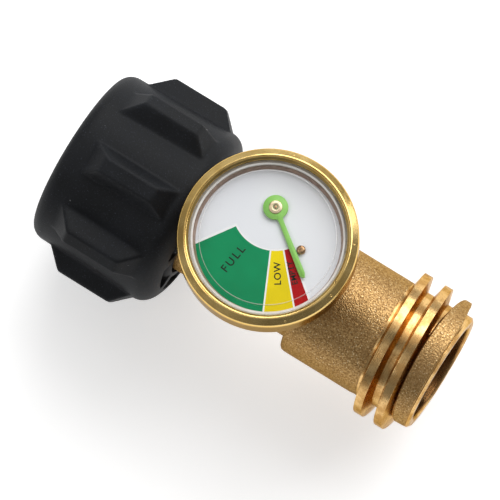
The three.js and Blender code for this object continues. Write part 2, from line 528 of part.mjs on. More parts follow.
function toothPoints(c, r, count, centres) {    // tooth outlines about c, one entry for each centre angle
  const m = move.module, pitch = 360 / count, out = [];
  for (const a of centres) {
    out.push(polar(r - 1.2 * m, a - pitch * 0.36, c), polar(r, a - pitch * 0.2, c), polar(r + 0.85 * m, a - pitch * 0.1, c),
      polar(r + 0.85 * m, a + pitch * 0.1, c), polar(r, a + pitch * 0.2, c), polar(r - 1.2 * m, a + pitch * 0.36, c));
  }
  return out;
}
{
  const m = move, pinCap = gearTop + 0.7;
  const pitch = 360 / (m.pinionTeeth * m.gearRatio);
  const centres = Array.from({ length: 6 }, (_, i) => 90 + pitch * (i - 4));
  const inner = [centres.at(-1) + pitch / 2, 90 - 1.5 * pitch, centres[0] - pitch / 2];
  const rack = slab([
    ...toothPoints(sectorAt, sectorR, m.pinionTeeth * m.gearRatio, centres),
    ...inner.map((a) => polar(sectorR - 1.5, a, sectorAt)),
  ], gearFrom, gearTop);
  const web = slab([
    polar(1.6, 175, sectorAt), polar(1.6, 250, sectorAt), polar(1.6, 330, sectorAt), polar(1.6, 10, sectorAt),
    polar(sectorR - 1.2, inner[2] + 3, sectorAt), polar(sectorR - 1.2, inner[1], sectorAt),
    polar(sectorR - 1.2, inner[0] - 3, sectorAt),
  ], gearFrom, gearTop);
  const tail = slab(bar(sectorAt, tailAt, 1.5), gearFrom, gearTop);
  const pin = turned([[gearFrom + 0.2, 0], [gearFrom + 0.2, m.pinR], [pinCap, m.pinR], [pinCap, 0]], 12)
    .translate(tailAt[0], tailAt[1], 0);
  const bore = turned([[0, 0], [0, 0.75], [40, 0.75], [40, 0]], 16).translate(sectorAt[0], sectorAt[1], 0);
  add('sector_gear', atGauge(cut(join(rack, web, tail, pin), bore)), 'bronze');
  add('sector_arbor', atGauge(turned([
    [plateFrom + 0.1, 0], [plateFrom + 0.1, 0.5], [plateTop + RUN, 0.5],
    [plateTop + RUN, 0.7], [topPlateFrom - RUN, 0.7], [topPlateFrom - RUN, 0.5],
    [topPlateTop - 0.05, 0.5], [topPlateTop - 0.05, 0],
  ], 16).translate(sectorAt[0], sectorAt[1], 0)), 'steel');

  const pinion = slab(toothPoints(m.pivot, pinionR, m.pinionTeeth,
    Array.from({ length: m.pinionTeeth }, (_, i) => -90 + 36 * (i + 0.5))), gearFrom - 0.2, gearTop + 0.2);
  const handFrom = dialTop + hand.lift;
  const shaft = turned([
    [plateFrom + 0.1, 0], [plateFrom + 0.1, 0.5], [plateTop + RUN, 0.5],
    [plateTop + RUN, 0.75], [gearTop + 0.5, 0.75], [gearTop + 0.5, 0.95], [gearTop + 1.3, 0.95],
    [gearTop + 1.3, 0.7], [topPlateFrom - RUN, 0.7], [topPlateFrom - RUN, 0.5], [handFrom + 0.5, 0.44],
    [handFrom + 0.5, 0],
  ], 16).translate(m.pivot[0], m.pivot[1], 0);
  add('pinion_arbor', atGauge(join(pinion, shaft)), 'steel');
  add('pointer_bushing', atGauge(turned([
    [handFrom - 0.2, 0.44 + FIT], [handFrom - 0.2, hand.bushR], [handFrom + hand.bushTall - 0.35, hand.bushR],
    [handFrom + hand.bushTall - 0.15, hand.bushR - 0.2], [handFrom + hand.bushTall - 0.15, 0.44 + FIT],
  ], 24).translate(m.pivot[0], m.pivot[1], 0)), 'brass');
  const w = hand.width / 2, arm = [];
  const reach = (d, s) => {
    const [x, y] = polar(d, hand.rest, m.pivot);
    return [x - s * Math.sin(rad(hand.rest)), y + s * Math.cos(rad(hand.rest))];
  };
  for (let i = 0; i <= 6; i++) {
    const a = rad(-90 + 30 * i);
    arm.push(reach(hand.length - w + w * Math.cos(a), w * Math.sin(a)));
  }
  const hubArc = THREE.MathUtils.radToDeg(Math.asin(w / hand.hubR));
  for (let i = 0; i <= 28; i++) {
    arm.push(polar(hand.hubR, hand.rest + hubArc + ((360 - 2 * hubArc) * i) / 28, m.pivot));
  }
  add('pointer', atGauge(slab(arm, handFrom, handFrom + hand.sheet, [circle(hand.bushR + FIT, m.pivot, 24)])), 'lime');

  const spiral = [], turns = 3.4, n = Math.round(turns * 16), mid = gearTop + 0.9;
  for (let i = 0; i <= n; i++) {
    const a = (2 * Math.PI * turns * i) / n, r = 1.15 + (2.5 * i) / n;
    const c = [Math.cos(a), Math.sin(a), 0];
    spiral.push({ o: [m.pivot[0] + r * c[0], m.pivot[1] + r * c[1], mid], u: c, v: [0, 0, 1] });
  }
  add('hairspring', atGauge(swept(spiral, [[-0.06, -0.25], [0.06, -0.25], [0.06, 0.25], [-0.06, 0.25]])), 'bronze');
}
{
  const m = move, half = m.tubeWide / 2, tall = m.tubeTall / 2, oval = (s) => [
    [half - s, -tall + 0.75], [half - s, tall - 0.75], [half * 0.5, tall - s], [-half * 0.5, tall - s],
    [-half + s, tall - 0.75], [-half + s, -tall + 0.75], [-half * 0.5, -tall + s], [half * 0.5, -tall + s],
  ];
  const from = m.socketAt + block.half + 0.3, turn = tipAngle - m.tipLead - from, frames = [], n = 26;
  for (let i = 0; i <= n; i++) {
    const a = rad(from + (turn * i) / n), c = [Math.cos(a), Math.sin(a), 0];
    frames.push({ o: [coilR * c[0], coilR * c[1], tubeLow + tall], u: c, v: [0, 0, 1] });
  }
  add('bourdon_tube', atGauge(swept(frames, oval(0), oval(m.tubeSheet))), 'bronze');

  const tubeEnd = from + turn + 0.3, tipR = Math.hypot(...tipAt), linkFrom = gearTop + 0.1;
  const wedge = [
    polar(tipR - 0.8, tubeEnd), polar(coilR + 0.9, tubeEnd), polar(coilR + 0.9, tubeEnd + 6),
    polar(coilR + 0.6, tubeEnd + 11), polar(tipR - 0.8, tubeEnd + 11),
  ];
  const pin = turned([[linkFrom - 2, 0], [linkFrom - 2, m.pinR], [linkFrom + 0.7, m.pinR], [linkFrom + 0.7, 0]], 12)
    .translate(tipAt[0], tipAt[1], 0);
  add('tip_block', atGauge(join(slab(wedge, tubeLow + 0.6, linkFrom - 0.1), pin)), 'brass');
  const eye = (c, k) => circle(m.pinR + RUN, c, k);
  const slot = bar(tipAt, [tipAt[0], tipAt[1] + m.slot], 2 * (m.pinR + RUN) + 0.1, 6);
  add('link', atGauge(slab(bar(tipAt, tailAt, 2.0, 8), linkFrom, linkFrom + 0.4, [eye(tailAt, 16), slot])), 'steel');

  const plateHole = (c, r) => circle(r, c, 14);
  const screwsAt = m.footScrews.map((d) => polar(d, m.socketAt));
  // plate outline: a round plate with a flat cut where the link and the tip block move
  const outline = [];
  for (let i = 0; i <= 30; i++) outline.push(polar(coilR - 2.3, -98 + (276 * i) / 30));
  const bearings = [plateHole(sectorAt, 0.5 + RUN), plateHole(m.pivot, 0.5 + RUN)];
  add('base_plate', atGauge(slab(outline, plateFrom, plateTop, [
    ...bearings, ...screwsAt.map((c) => plateHole(c, 0.55)),
  ])), 'brass');
  add('top_plate', atGauge(slab(outline, topPlateFrom, topPlateTop, [
    ...bearings, ...m.pillars.map((c) => plateHole(c, 0.55)),
  ])), 'brass');
  m.pillars.forEach((c, i) => {
    add(`pillar_${i + 1}`, atGauge(cut(
      turned([[plateTop, 0], [plateTop, 1.3], [topPlateFrom, 1.3], [topPlateFrom, 0]], 16).translate(c[0], c[1], 0),
      turned([[topPlateFrom - 1.6, 0], [topPlateFrom - 1.6, 0.5], [topPlateFrom + 1, 0.5], [topPlateFrom + 1, 0]], 12)
        .translate(c[0], c[1], 0),
    )), 'brass');
    add(`top_screw_${i + 1}`, atGauge(screw(c, topPlateFrom - 1.5, topPlateTop, 0.45, 1.1, 0.5)), 'steel');
  });
  screwsAt.forEach((c, i) => {
    add(`base_screw_${i + 1}`, atGauge(screw(c, barTop - 0.9, plateTop, 0.45, 1.1, 0.6)), 'steel');
  });
}

export default assembly;
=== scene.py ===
"""Looks of an in-line propane gauge adapter: handwheel, cast brass body, gauge, threaded outlet.

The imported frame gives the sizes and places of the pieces. Lengths are in millimetres until a
mesh is finished.
"""
import json
import math

import bmesh
import bpy
from mathutils import Matrix, Vector

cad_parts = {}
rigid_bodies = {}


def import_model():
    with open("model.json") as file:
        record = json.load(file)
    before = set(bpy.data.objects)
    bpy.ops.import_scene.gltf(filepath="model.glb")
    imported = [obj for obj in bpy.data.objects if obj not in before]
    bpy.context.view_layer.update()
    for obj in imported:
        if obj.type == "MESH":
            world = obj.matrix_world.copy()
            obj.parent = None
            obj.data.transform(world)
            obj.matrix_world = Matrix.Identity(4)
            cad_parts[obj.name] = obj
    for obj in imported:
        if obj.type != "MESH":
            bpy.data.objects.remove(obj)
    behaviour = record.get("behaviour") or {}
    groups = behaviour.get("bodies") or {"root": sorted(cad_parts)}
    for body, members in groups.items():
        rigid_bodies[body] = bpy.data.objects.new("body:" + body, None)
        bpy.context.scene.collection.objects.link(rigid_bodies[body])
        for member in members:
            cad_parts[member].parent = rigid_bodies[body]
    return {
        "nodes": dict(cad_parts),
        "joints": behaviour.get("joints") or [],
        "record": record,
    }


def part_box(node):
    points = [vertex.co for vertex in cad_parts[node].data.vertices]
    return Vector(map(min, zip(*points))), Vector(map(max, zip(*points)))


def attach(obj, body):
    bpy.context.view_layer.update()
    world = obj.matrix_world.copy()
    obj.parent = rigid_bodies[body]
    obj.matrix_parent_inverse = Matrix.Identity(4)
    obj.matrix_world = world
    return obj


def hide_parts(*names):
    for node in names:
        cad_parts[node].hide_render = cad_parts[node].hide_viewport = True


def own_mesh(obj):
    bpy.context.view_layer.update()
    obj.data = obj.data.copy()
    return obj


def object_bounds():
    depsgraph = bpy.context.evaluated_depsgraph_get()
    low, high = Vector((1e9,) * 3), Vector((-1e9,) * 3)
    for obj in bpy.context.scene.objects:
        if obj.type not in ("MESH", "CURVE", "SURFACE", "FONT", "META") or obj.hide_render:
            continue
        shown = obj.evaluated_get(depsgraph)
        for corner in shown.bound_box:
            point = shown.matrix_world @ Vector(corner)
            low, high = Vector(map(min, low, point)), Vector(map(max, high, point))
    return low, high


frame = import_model()
cad_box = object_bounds()

MM = 0.001
SLOT_OF = {row["node"]: row["material_slot"] for row in frame["record"]["subparts"]}


# ------------------------------------------------------------------ sizes taken from the frame
def box_mm(node):
    low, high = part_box(node)
    return low / MM, high / MM


def across(node, axis):
    low, high = box_mm(node)
    return (high[axis] - low[axis]) / 2


def middle(node):
    low, high = box_mm(node)
    return (low + high) / 2


WHEEL_END = box_mm("handwheel")[1].x
BODY_LOW, BODY_HIGH = box_mm("valve_body")
BEZEL_LOW, BEZEL_HIGH = box_mm("bezel")
DIAL_LOW, DIAL_HIGH = box_mm("dial")
LENS_LOW, LENS_HIGH = box_mm("window_lens")
CASE_LOW, CASE_HIGH = box_mm("gauge_case")
GAUGE_X = middle("bezel").x
BODY_END = BODY_HIGH.x
PIVOT = middle("pointer_bushing")
PIN = middle("stop_pin")

PITCH = 5.08                    # the outlet thread: 5 turns to the inch
THREAD_R = 16.65
RIB_R = 24.35
RIBS = 8
RIB_PHASE = 8.4
POINTER_ANGLE = -36.7


# ------------------------------------------------------------------ mesh helpers
def obj_from(name, verts, faces, look, weld=False, smooth_below=38):
    """A finished piece from points in mm: facing out, smooth but for its sharp edges, welded only when
    weld is set.
    """
    mesh = bpy.data.meshes.new(name)
    mesh.from_pydata([Vector(v) * MM for v in verts], [], faces)
    return finished(name, mesh, look, weld, smooth_below)


def finished(name, mesh, look, weld=False, smooth_below=38, recalc=True):
    bm = bmesh.new()
    bm.from_mesh(mesh)
    if weld:
        bmesh.ops.remove_doubles(bm, verts=bm.verts, dist=1e-7)
    if recalc:
        bmesh.ops.recalc_face_normals(bm, faces=bm.faces)
    bm.to_mesh(mesh)
    bm.free()
    mesh.name = name
    mesh.polygons.foreach_set("use_smooth", [True] * len(mesh.polygons))
    mesh.set_sharp_from_angle(angle=math.radians(smooth_below))
    mesh.materials.clear()
    mesh.materials.append(look)
    obj = bpy.data.objects.new(name, mesh)
    bpy.context.scene.collection.objects.link(obj)
    return obj


def placed(obj, body, *nodes):
    """The piece rides on its body and stands for its CAD nodes, which it hides."""
    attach(obj, body)
    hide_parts(*nodes)
    return obj


def rounded(outline, bend=0.2, steps=3, closed=True):
    """The outline with its corners eased. A point (a, r) takes the usual bend, (a, r, b) its own."""
    out = []
    n = len(outline)
    for i, point in enumerate(outline):
        here = Vector(point[:2])
        size = point[2] if len(point) > 2 else bend
        if size <= 0 or (not closed and i in (0, n - 1)):
            out.append(here)
            continue
        before = Vector(outline[i - 1][:2]) - here
        after = Vector(outline[(i + 1) % n][:2]) - here
        cosine = max(-1.0, min(1.0, before.normalized().dot(after.normalized())))
        half = math.acos(cosine) / 2
        if half > math.radians(87):
            out.append(here)
            continue
        reach = min(size / math.tan(half), 0.42 * before.length, 0.42 * after.length)
        start = here + before.normalized() * reach
        end = here + after.normalized() * reach
        out.append(here + before.normalized() * min(reach * 1.25, 0.48 * before.length))
        for k in range(steps + 1):
            t = k / steps
            out.append(start * (1 - t) ** 2 + here * 2 * t * (1 - t) + end * t * t)
        out.append(here + after.normalized() * min(reach * 1.25, 0.48 * after.length))
    return out


def lathe_grid(profile, seg, place):
    """Points and faces of a profile of (along, radius) turned about the axis that place() gives."""
    verts, rings, faces = [], [], []
    for along, radius in profile:
        ring = []
        for i in range(1 if radius < 1e-6 else seg):
            a = 2 * math.pi * i / seg
            ring.append(len(verts))
            verts.append(place(along, radius, a))
        rings.append(ring)
    closed = profile[0][1] > 1e-6
    for k in range(len(rings) - (0 if closed else 1)):
        p, q = rings[k], rings[(k + 1) % len(rings)]
        for i in range(seg):
            j = (i + 1) % seg
            if len(p) > 1 and len(q) > 1:
                faces.append((p[i], p[j], q[j], q[i]))
            elif len(p) > 1:
                faces.append((p[i], p[j], q[0]))
            elif len(q) > 1:
                faces.append((p[0], q[j], q[i]))
    return verts, faces


def along_x(along, radius, a):
    return (along, radius * math.cos(a), radius * math.sin(a))


def about(x, y):
    return lambda along, radius, a: (x + radius * math.cos(a), y + radius * math.sin(a), along)


def turned(name, outline, look, place=along_x, seg=96, bend=0.2, steps=3):
    profile = rounded(outline, bend, steps, closed=outline[0][1] > 1e-6)
    verts, faces = lathe_grid(profile, seg, place)
    return obj_from(name, verts, faces, look)


def prism(name, outline, low, high, look, bevel=0.05):
    """A flat plate with eased edges: its outline in x and y, from low to high."""
    rings = [(bevel, low), (0, low + bevel), (0, high - bevel), (bevel, high)]
    n = len(outline)
    inner = []
    for i, p in enumerate(outline):
        a = Vector(outline[i - 1]) - Vector(p)
        b = Vector(outline[(i + 1) % n]) - Vector(p)
        tangent = (b.normalized() - a.normalized()).normalized()
        inner.append(Vector((-tangent.y, tangent.x)))
    area = sum(outline[i - 1][0] * p[1] - p[0] * outline[i - 1][1] for i, p in enumerate(outline))
    side = 1 if area > 0 else -1
    verts, faces = [], []
    for inset, z in rings:
        for p, normal in zip(outline, inner):
            verts.append((p[0] + side * inset * normal.x, p[1] + side * inset * normal.y, z))
    for k in range(len(rings) - 1):
        for i in range(n):
            j = (i + 1) % n
            faces.append((k * n + i, k * n + j, (k + 1) * n + j, (k + 1) * n + i))
    faces.append(tuple(range(n)))
    faces.append(tuple(range((len(rings) - 1) * n, len(rings) * n)))
    return obj_from(name, verts, faces, look, smooth_below=50)


def joined(name, pieces):
    """Several meshes as one piece, each with its own finish."""
    bm = bmesh.new()
    looks = []
    for piece in pieces:
        first = len(bm.faces)
        bm.from_mesh(piece.data)
        bm.faces.ensure_lookup_table()
        material = piece.data.materials[0]
        if material not in looks:
            looks.append(material)
        for face in bm.faces[first:]:
            face.material_index = looks.index(material)
    mesh = bpy.data.meshes.new(name)
    bm.to_mesh(mesh)
    bm.free()
    for piece in pieces:
        bpy.data.objects.remove(piece)
    for material in looks:
        mesh.materials.append(material)
    obj = bpy.data.objects.new(name, mesh)
    bpy.context.scene.collection.objects.link(obj)
    return obj


def smooth_max(a, b, blend):
    h = max(blend - abs(a - b), 0) / blend
    return max(a, b) + h * h * blend / 4


def smooth_min(a, b, blend):
    return -smooth_max(-a, -b, blend)


def smooth_step(low, high, value):
    t = min(1, max(0, (value - low) / (high - low)))
    return t * t * (3 - 2 * t)


def polar(r, degrees, centre=(0, 0)):
    a = math.radians(degrees)
    return (centre[0] + r * math.cos(a), centre[1] + r * math.sin(a))


# ------------------------------------------------------------------ shader helpers
class Sock:
    """A node socket that takes part in plain arithmetic."""

    def __init__(self, tree, socket):
        self.tree = tree
        self.socket = socket

    def _math(self, operation, a, b):
        return self.tree.maths(operation, a, b)

    def __add__(self, other):
        return self._math("ADD", self, other)

    def __radd__(self, other):
        return self._math("ADD", other, self)

    def __sub__(self, other):
        return self._math("SUBTRACT", self, other)

    def __rsub__(self, other):
        return self._math("SUBTRACT", other, self)

    def __mul__(self, other):
        return self._math("MULTIPLY", self, other)

    def __rmul__(self, other):
        return self._math("MULTIPLY", other, self)

    def __truediv__(self, other):
        return self._math("DIVIDE", self, other)

    def __rtruediv__(self, other):
        return self._math("DIVIDE", other, self)

    def __gt__(self, other):
        return self._math("GREATER_THAN", self, other)

    def __lt__(self, other):
        return self._math("LESS_THAN", self, other)


def set_stops(ramp, stops):
    while len(ramp.elements) < len(stops):
        ramp.elements.new(0.5)
    for element, (position, colour) in zip(ramp.elements, stops):
        element.position = position
        element.color = colour4(colour)


class Tree:
    """A shader node tree under construction."""

    def __init__(self, tree):
        self.nodes = tree.nodes
        self.links = tree.links

    def add(self, kind, settings=None, inputs=None, out=0):
        node = self.nodes.new(kind)
        for key, value in (settings or {}).items():
            if key == "stops":
                set_stops(node.color_ramp, value)
            else:
                setattr(node, key, value)
        for key, value in (inputs or {}).items():
            self.feed(node.inputs[key], value)
        return Sock(self, node.outputs[out])

    def feed(self, socket, value):
        if isinstance(value, Sock):
            self.links.new(value.socket, socket)
        else:
            socket.default_value = value

    def place(self):
        return self.add("ShaderNodeTexCoord", out=3)

    def noise(self, scale, detail=2.0, roughness=0.5, where=None):
        at = where or self.place()
        inputs = {"Vector": at, "Scale": scale, "Detail": detail, "Roughness": roughness}
        return self.add("ShaderNodeTexNoise", inputs=inputs)

    def cells(self, scale, where=None, out=0):
        inputs = {"Vector": where or self.place(), "Scale": scale}
        return self.add("ShaderNodeTexVoronoi", inputs=inputs, out=out)

    def ramp(self, value, *stops):
        return self.add("ShaderNodeValToRGB", {"stops": stops}, {"Fac": value})

    def fade(self, value, low, high, to_low=0.0, to_high=1.0):
        inputs = {"Value": value, "From Min": low, "From Max": high}
        inputs.update({"To Min": to_low, "To Max": to_high})
        return self.add("ShaderNodeMapRange", {"interpolation_type": "SMOOTHSTEP"}, inputs)

    def mix(self, factor, a, b, blend="MIX"):
        inputs = {0: factor, 6: colour4(a), 7: colour4(b)}
        return self.add("ShaderNodeMix", {"data_type": "RGBA", "blend_type": blend}, inputs, out=2)

    def maths(self, operation, *values):
        return self.add("ShaderNodeMath", {"operation": operation}, dict(enumerate(values)))

    def length(self, x, y):
        return self.maths("SQRT", x * x + y * y)

    def inside(self, x, y, z):
        """1 within the outlet's bore, where the painted shade goes."""
        near_axis = self.fade(self.length(y, z) / MM, MOUTH_R + 0.35, MOUTH_R + 0.1)
        return near_axis * (x > (THREAD_AT - 3) * MM)

    def absolute(self, value):
        return self.maths("ABSOLUTE", value)

    def blend(self, factor, a, b):
        """A mix of two normals."""
        return self.add("ShaderNodeMix", {"data_type": "VECTOR"}, {0: factor, 4: a, 5: b}, out=1)

    def bump(self, height, distance, strength=1.0, below=None):
        inputs = {"Height": height, "Distance": distance, "Strength": strength}
        if below:
            inputs["Normal"] = below
        return self.add("ShaderNodeBump", inputs=inputs)

    def split(self, vector):
        node = self.nodes.new("ShaderNodeSeparateXYZ")
        self.feed(node.inputs[0], vector)
        return [Sock(self, node.outputs[i]) for i in range(3)]


class Look(Tree):
    """A material under construction: one Principled shader and what feeds it."""

    def __init__(self, name, **constants):
        self.material = bpy.data.materials.new(name)
        self.material.use_nodes = True
        super().__init__(self.material.node_tree)
        self.shader = self.nodes["Principled BSDF"]
        self.done(**constants)

    def done(self, **fed):
        for key, value in fed.items():
            self.feed(self.shader.inputs[key.replace("_", " ")], value)
        return self.material


def grey(value):
    return (value, value, value)


def colour4(value):
    if isinstance(value, Sock) or len(value) == 4:
        return value
    return (*value, 1)


# ------------------------------------------------------------------ finishes
GOLDEN_EDGE = (0.72, 0.58, 0.38, 1)     # brass keeps its colour where it is seen edge on
BRIGHT_TONES = ((0.52, 0.295, 0.105), (0.80, 0.53, 0.23), (0.12, 0.32))
MOUTH_R, OUTLET_CORE = 11.15, 13.38     # radii of the outlet's bore and of the thread's root
THREAD_AT = BODY_END - 13.35            # the first turn's middle, at angle 0
RUN_IN_EDGE = THREAD_AT + PITCH / 4 - 2.25


def moulded_black():
    look = Look("moulded_black", Specular_IOR_Level=0.16)
    speck = look.noise(3600, 3, 0.6)
    cloud = look.noise(90, 3, 0.55)
    dust = look.cells(420) < 0.07
    tone = look.mix(look.fade(cloud, 0.3, 0.7), (0.0066, 0.0073, 0.0084), (0.0112, 0.0124, 0.0148))
    tone = look.mix(look.fade(speck, 0.58, 0.76) * 0.7, tone, (0.052, 0.058, 0.078))
    tone = look.mix(dust * look.fade(look.noise(160), 0.56, 0.62) * 0.55, tone, (0.30, 0.30, 0.31))
    rough = look.fade(cloud, 0.25, 0.75, 0.44, 0.56) + speck * 0.10
    grain = look.bump(speck, 0.00009, 0.55)
    return look.done(Base_Color=tone, Roughness=rough, Normal=look.bump(cloud, 0.0003, 0.25, grain))


def moulded_olive():
    look = Look("moulded_olive", Specular_IOR_Level=0.4)
    speck = look.noise(2500, 3, 0.6)
    cloud = look.fade(look.noise(120), 0.3, 0.7)
    tone = look.mix(cloud, (0.045, 0.050, 0.030), (0.060, 0.064, 0.040))
    return look.done(Base_Color=tone, Roughness=speck * 0.2 + 0.4,
                     Normal=look.bump(speck, 0.00006, 0.5))


def cast_surface(look, where, x, y, z):
    """Tone, roughness and normal of blasted cast brass: sparkling grain, with painted shade inside its
    bore.
    """
    grain = look.noise(2600, 3, 0.62, where)
    cell = look.cells(3000, where)
    flake = look.split(look.cells(3000, where, out=1))[0] > 0.84
    cloud = look.noise(70, 3, 0.6, where)
    tone = look.mix(look.fade(grain, 0.36, 0.64), (0.27, 0.152, 0.056), (0.54, 0.345, 0.145))
    tone = look.mix(flake * look.fade(cell, 0.45, 0.1), tone, (1.0, 0.82, 0.50))
    tone = look.mix(look.fade(cloud, 0.35, 0.7) * 0.35, tone, (0.29, 0.165, 0.065))
    # painted shade: darker inside the outlet's bore
    tone = look.mix(look.inside(x, y, z), tone, (0.12, 0.055, 0.018))
    rough = look.fade(grain, 0.3, 0.7, 0.50, 0.30)
    bumps = look.bump(grain, 0.00014, 0.9)
    return tone, rough, look.bump(cell, 0.00008, 0.6, bumps)


def cast_brass():
    look = Look("cast_brass", Metallic=1.0, Specular_Tint=GOLDEN_EDGE)
    where = look.place()
    x, y, z = look.split(where)
    tone, rough, normal = cast_surface(look, where, x, y, z)
    return look.done(Base_Color=tone, Roughness=rough, Normal=normal)


def machined_brass(name, dark, light, rough, run_in=False):
    """Brass turned about X: fine tool marks round the axis, with patches of duller metal, and painted
    shade in the outlet's bore.

    With run_in, the skin before the thread's first turn is left as cast, up to a helical edge.
    """
    look = Look(name, Metallic=1.0, Specular_Tint=GOLDEN_EDGE)
    where = look.place()
    x, y, z = look.split(where)
    settings = {"noise_dimensions": "1D"}
    marks = look.add("ShaderNodeTexNoise", settings, {"W": x, "Scale": 9000, "Detail": 3})
    cloud = look.noise(260, 4, 0.65, where)
    pit = look.fade(look.noise(2200, 2, 0.5, where), 0.62, 0.70)
    tone = look.mix(look.fade(cloud, 0.38, 0.64), dark, light)
    tone = look.mix(look.fade(marks, 0.50, 0.75) * 0.35, tone, [c * 0.55 for c in dark])
    tone = look.mix(pit * 0.5, tone, [c * 0.4 for c in dark])
    # painted shade: darker inside the outlet's bore
    tone = look.mix(look.inside(x, y, z) * 0.85, tone, (0.22, 0.095, 0.030))
    worn = look.fade(cloud, 0.3, 0.7, rough[1], rough[0])
    normal = look.bump(cloud, 0.00006, 0.2, look.bump(marks, 0.00004, 0.6))
    if run_in:
        turn = look.maths("ARCTAN2", y * -1.0, z) / (2 * math.pi)
        outer = look.length(y, z) > (OUTLET_CORE - 0.3) * MM
        as_cast = (x / MM - turn * PITCH < RUN_IN_EDGE) * outer
        skin, dull, grainy = cast_surface(look, where, x, y, z)
        tone = look.mix(as_cast, tone, skin)
        worn = worn + (dull - worn) * as_cast
        normal = look.blend(as_cast, normal, grainy)
    return look.done(Base_Color=tone, Roughness=worn, Normal=normal)


def polished_gold():
    """Lacquered brass with small nicks, darker down its lower wall as a painted dark reflection."""
    look = Look("polished_gold", Metallic=1.0, Specular_Tint=GOLDEN_EDGE)
    where = look.place()
    z = look.split(where)[2]
    cloud = look.noise(130, 4, 0.6, where)
    fine = look.noise(1400, 2, 0.5, where)
    patch = look.fade(look.noise(210, 2, 0.5, where), 0.52, 0.6)
    nick = look.fade(look.cells(330, where), 0.10, 0.04) * patch
    tone = look.mix(look.fade(cloud, 0.35, 0.68), (0.74, 0.49, 0.155), (0.85, 0.61, 0.24))
    # painted reflection: the lower wall darkens by height, standing in for the dark surround it
    # reflects
    lower_wall_reflection = look.fade(z / MM, BEZEL_HIGH.z - 1.0, BEZEL_HIGH.z - 2.6)
    tone = look.mix(lower_wall_reflection * look.fade(cloud, 0.2, 0.8, 1.0, 0.7), tone, (0.30, 0.185, 0.060))
    tone = look.mix(nick, tone, (0.26, 0.16, 0.05))
    worn = look.fade(cloud, 0.3, 0.72, 0.12, 0.25) + nick * 0.3
    normal = look.bump(nick * -1.0, 0.00014, 0.8, look.bump(fine, 0.00003, 0.35))
    return look.done(Base_Color=tone, Roughness=worn, Normal=look.bump(cloud, 0.0002, 0.3, normal))


def plain_metal(name, scale, dark, light, rough, grain):
    """Metal with faint clouds. The grain is (scale, depth, strength), and no scale means clouds."""
    look = Look(name, Metallic=1.0)
    cloud = look.noise(scale, 3, 0.6)
    tone = look.mix(look.fade(cloud, 0.3, 0.7), dark, light)
    height = look.noise(grain[0]) if grain[0] else cloud
    return look.done(Base_Color=tone, Roughness=look.fade(cloud, 0.3, 0.7, *rough),
                     Normal=look.bump(height, *grain[1:]))


def plain_coat(name, scale, dark, light, rough, grain, gloss=0.5, detail=3):
    """Paint, ink or rubber: specks drive the tone, the roughness (share, base) and the bumps."""
    look = Look(name, Specular_IOR_Level=gloss)
    speck = look.noise(scale, detail, 0.6)
    tone = look.mix(look.fade(speck, 0.3, 0.7), dark, light)
    return look.done(Base_Color=tone, Roughness=speck * rough[0] + rough[1],
                     Normal=look.bump(speck, *grain))


def lime_paint():
    look = Look("lime_paint", Specular_IOR_Level=0.3)
    speck = look.noise(1500, 3, 0.6)
    cloud = look.fade(look.noise(260), 0.35, 0.65)
    tone = look.mix(cloud, (0.235, 0.55, 0.105), (0.29, 0.63, 0.135))
    return look.done(Base_Color=tone, Roughness=speck * 0.15 + 0.3,
                     Normal=look.bump(speck, 0.00003, 0.4))


def clear_window():
    """Clear plastic with faint dust. The rings of its moulded step are painted on as highlight and
    dark reflection lines.
    """
    look = Look("clear_window", Specular_IOR_Level=0.5)
    where = look.place()
    x, y, z = look.split(where)
    radius = look.length(x - GAUGE_X * MM, y) / MM
    smear = look.noise(60, 3, 0.6, where)
    upper = z > (LENS_LOW.z + 0.6) * MM
    tone, alpha = grey(0.9), WINDOW_CLEAR
    for at, half, paint, cover in PAINTED_WINDOW_RINGS:
        # painted highlight and reflection lines, on the window's upper face only
        line = look.fade(look.absolute(radius - at), half + 0.07, half) * upper
        tone = look.mix(line, tone, paint)
        alpha = alpha + line * (look.fade(smear, 0.3, 0.7) * 0.5 + 0.5) * cover
    look.material.surface_render_method = "BLENDED"
    rough = look.fade(smear, 0.3, 0.7, 0.03, 0.09)
    return look.done(Base_Color=tone, Roughness=rough, Alpha=alpha,
                     Normal=look.bump(smear, 0.0002, 0.1))


def dial_print():
    """The printed card: pale ground, with coloured sectors about the pointer's pivot."""
    look = Look("dial_print", Specular_IOR_Level=0.12)
    x, y = look.split(look.place())[:2]
    x = x - PIVOT.x * MM
    y = y - PIVOT.y * MM
    radius = look.length(x, y) / MM
    angle = look.maths("ARCTAN2", y, x) * (180 / math.pi)
    speck = look.noise(2600, 2, 0.6)
    cloud = look.fade(look.noise(40), 0.3, 0.7)
    ground = look.mix(cloud, (0.775, 0.795, 0.830), (0.820, 0.835, 0.858))
    ring = radius > SECTOR_INNER
    around = band(angle, radius, ring, SECTOR_ENDS[0], SECTOR_ENDS[-1], -PRINT_BORDER)
    tone = look.mix(around, ground, (0.86, 0.87, 0.87))
    for k, paint in enumerate(SECTOR_PAINTS):
        inside = band(angle, radius, radius > SECTOR_INNER + PRINT_BORDER,
                      SECTOR_ENDS[k], SECTOR_ENDS[k + 1], PRINT_BORDER / 2)
        mottled = look.mix(look.fade(look.noise(150), 0.3, 0.7), paint, [c * 0.86 for c in paint])
        tone = look.mix(inside, tone, mottled)
    return look.done(Base_Color=tone, Roughness=speck * 0.1 + 0.32,
                     Normal=look.bump(speck, 0.00002, 0.3))


def band(angle, radius, ring, low, high, border):
    """1 between two angles in degrees, drawn in by a border width in mm on both sides."""
    margin = (180 / math.pi * border) / radius
    return (angle > margin + low) * (angle < high - margin) * ring


SECTOR_INNER = 8.8              # the printed sectors, about the pivot, in mm and degrees
SECTOR_ENDS = [-124.0, -64.5, -47.5, -38.2]
SECTOR_PAINTS = [(0.003, 0.265, 0.100), (0.86, 0.68, 0.004), (0.46, 0.003, 0.004)]
PRINT_BORDER = 0.34

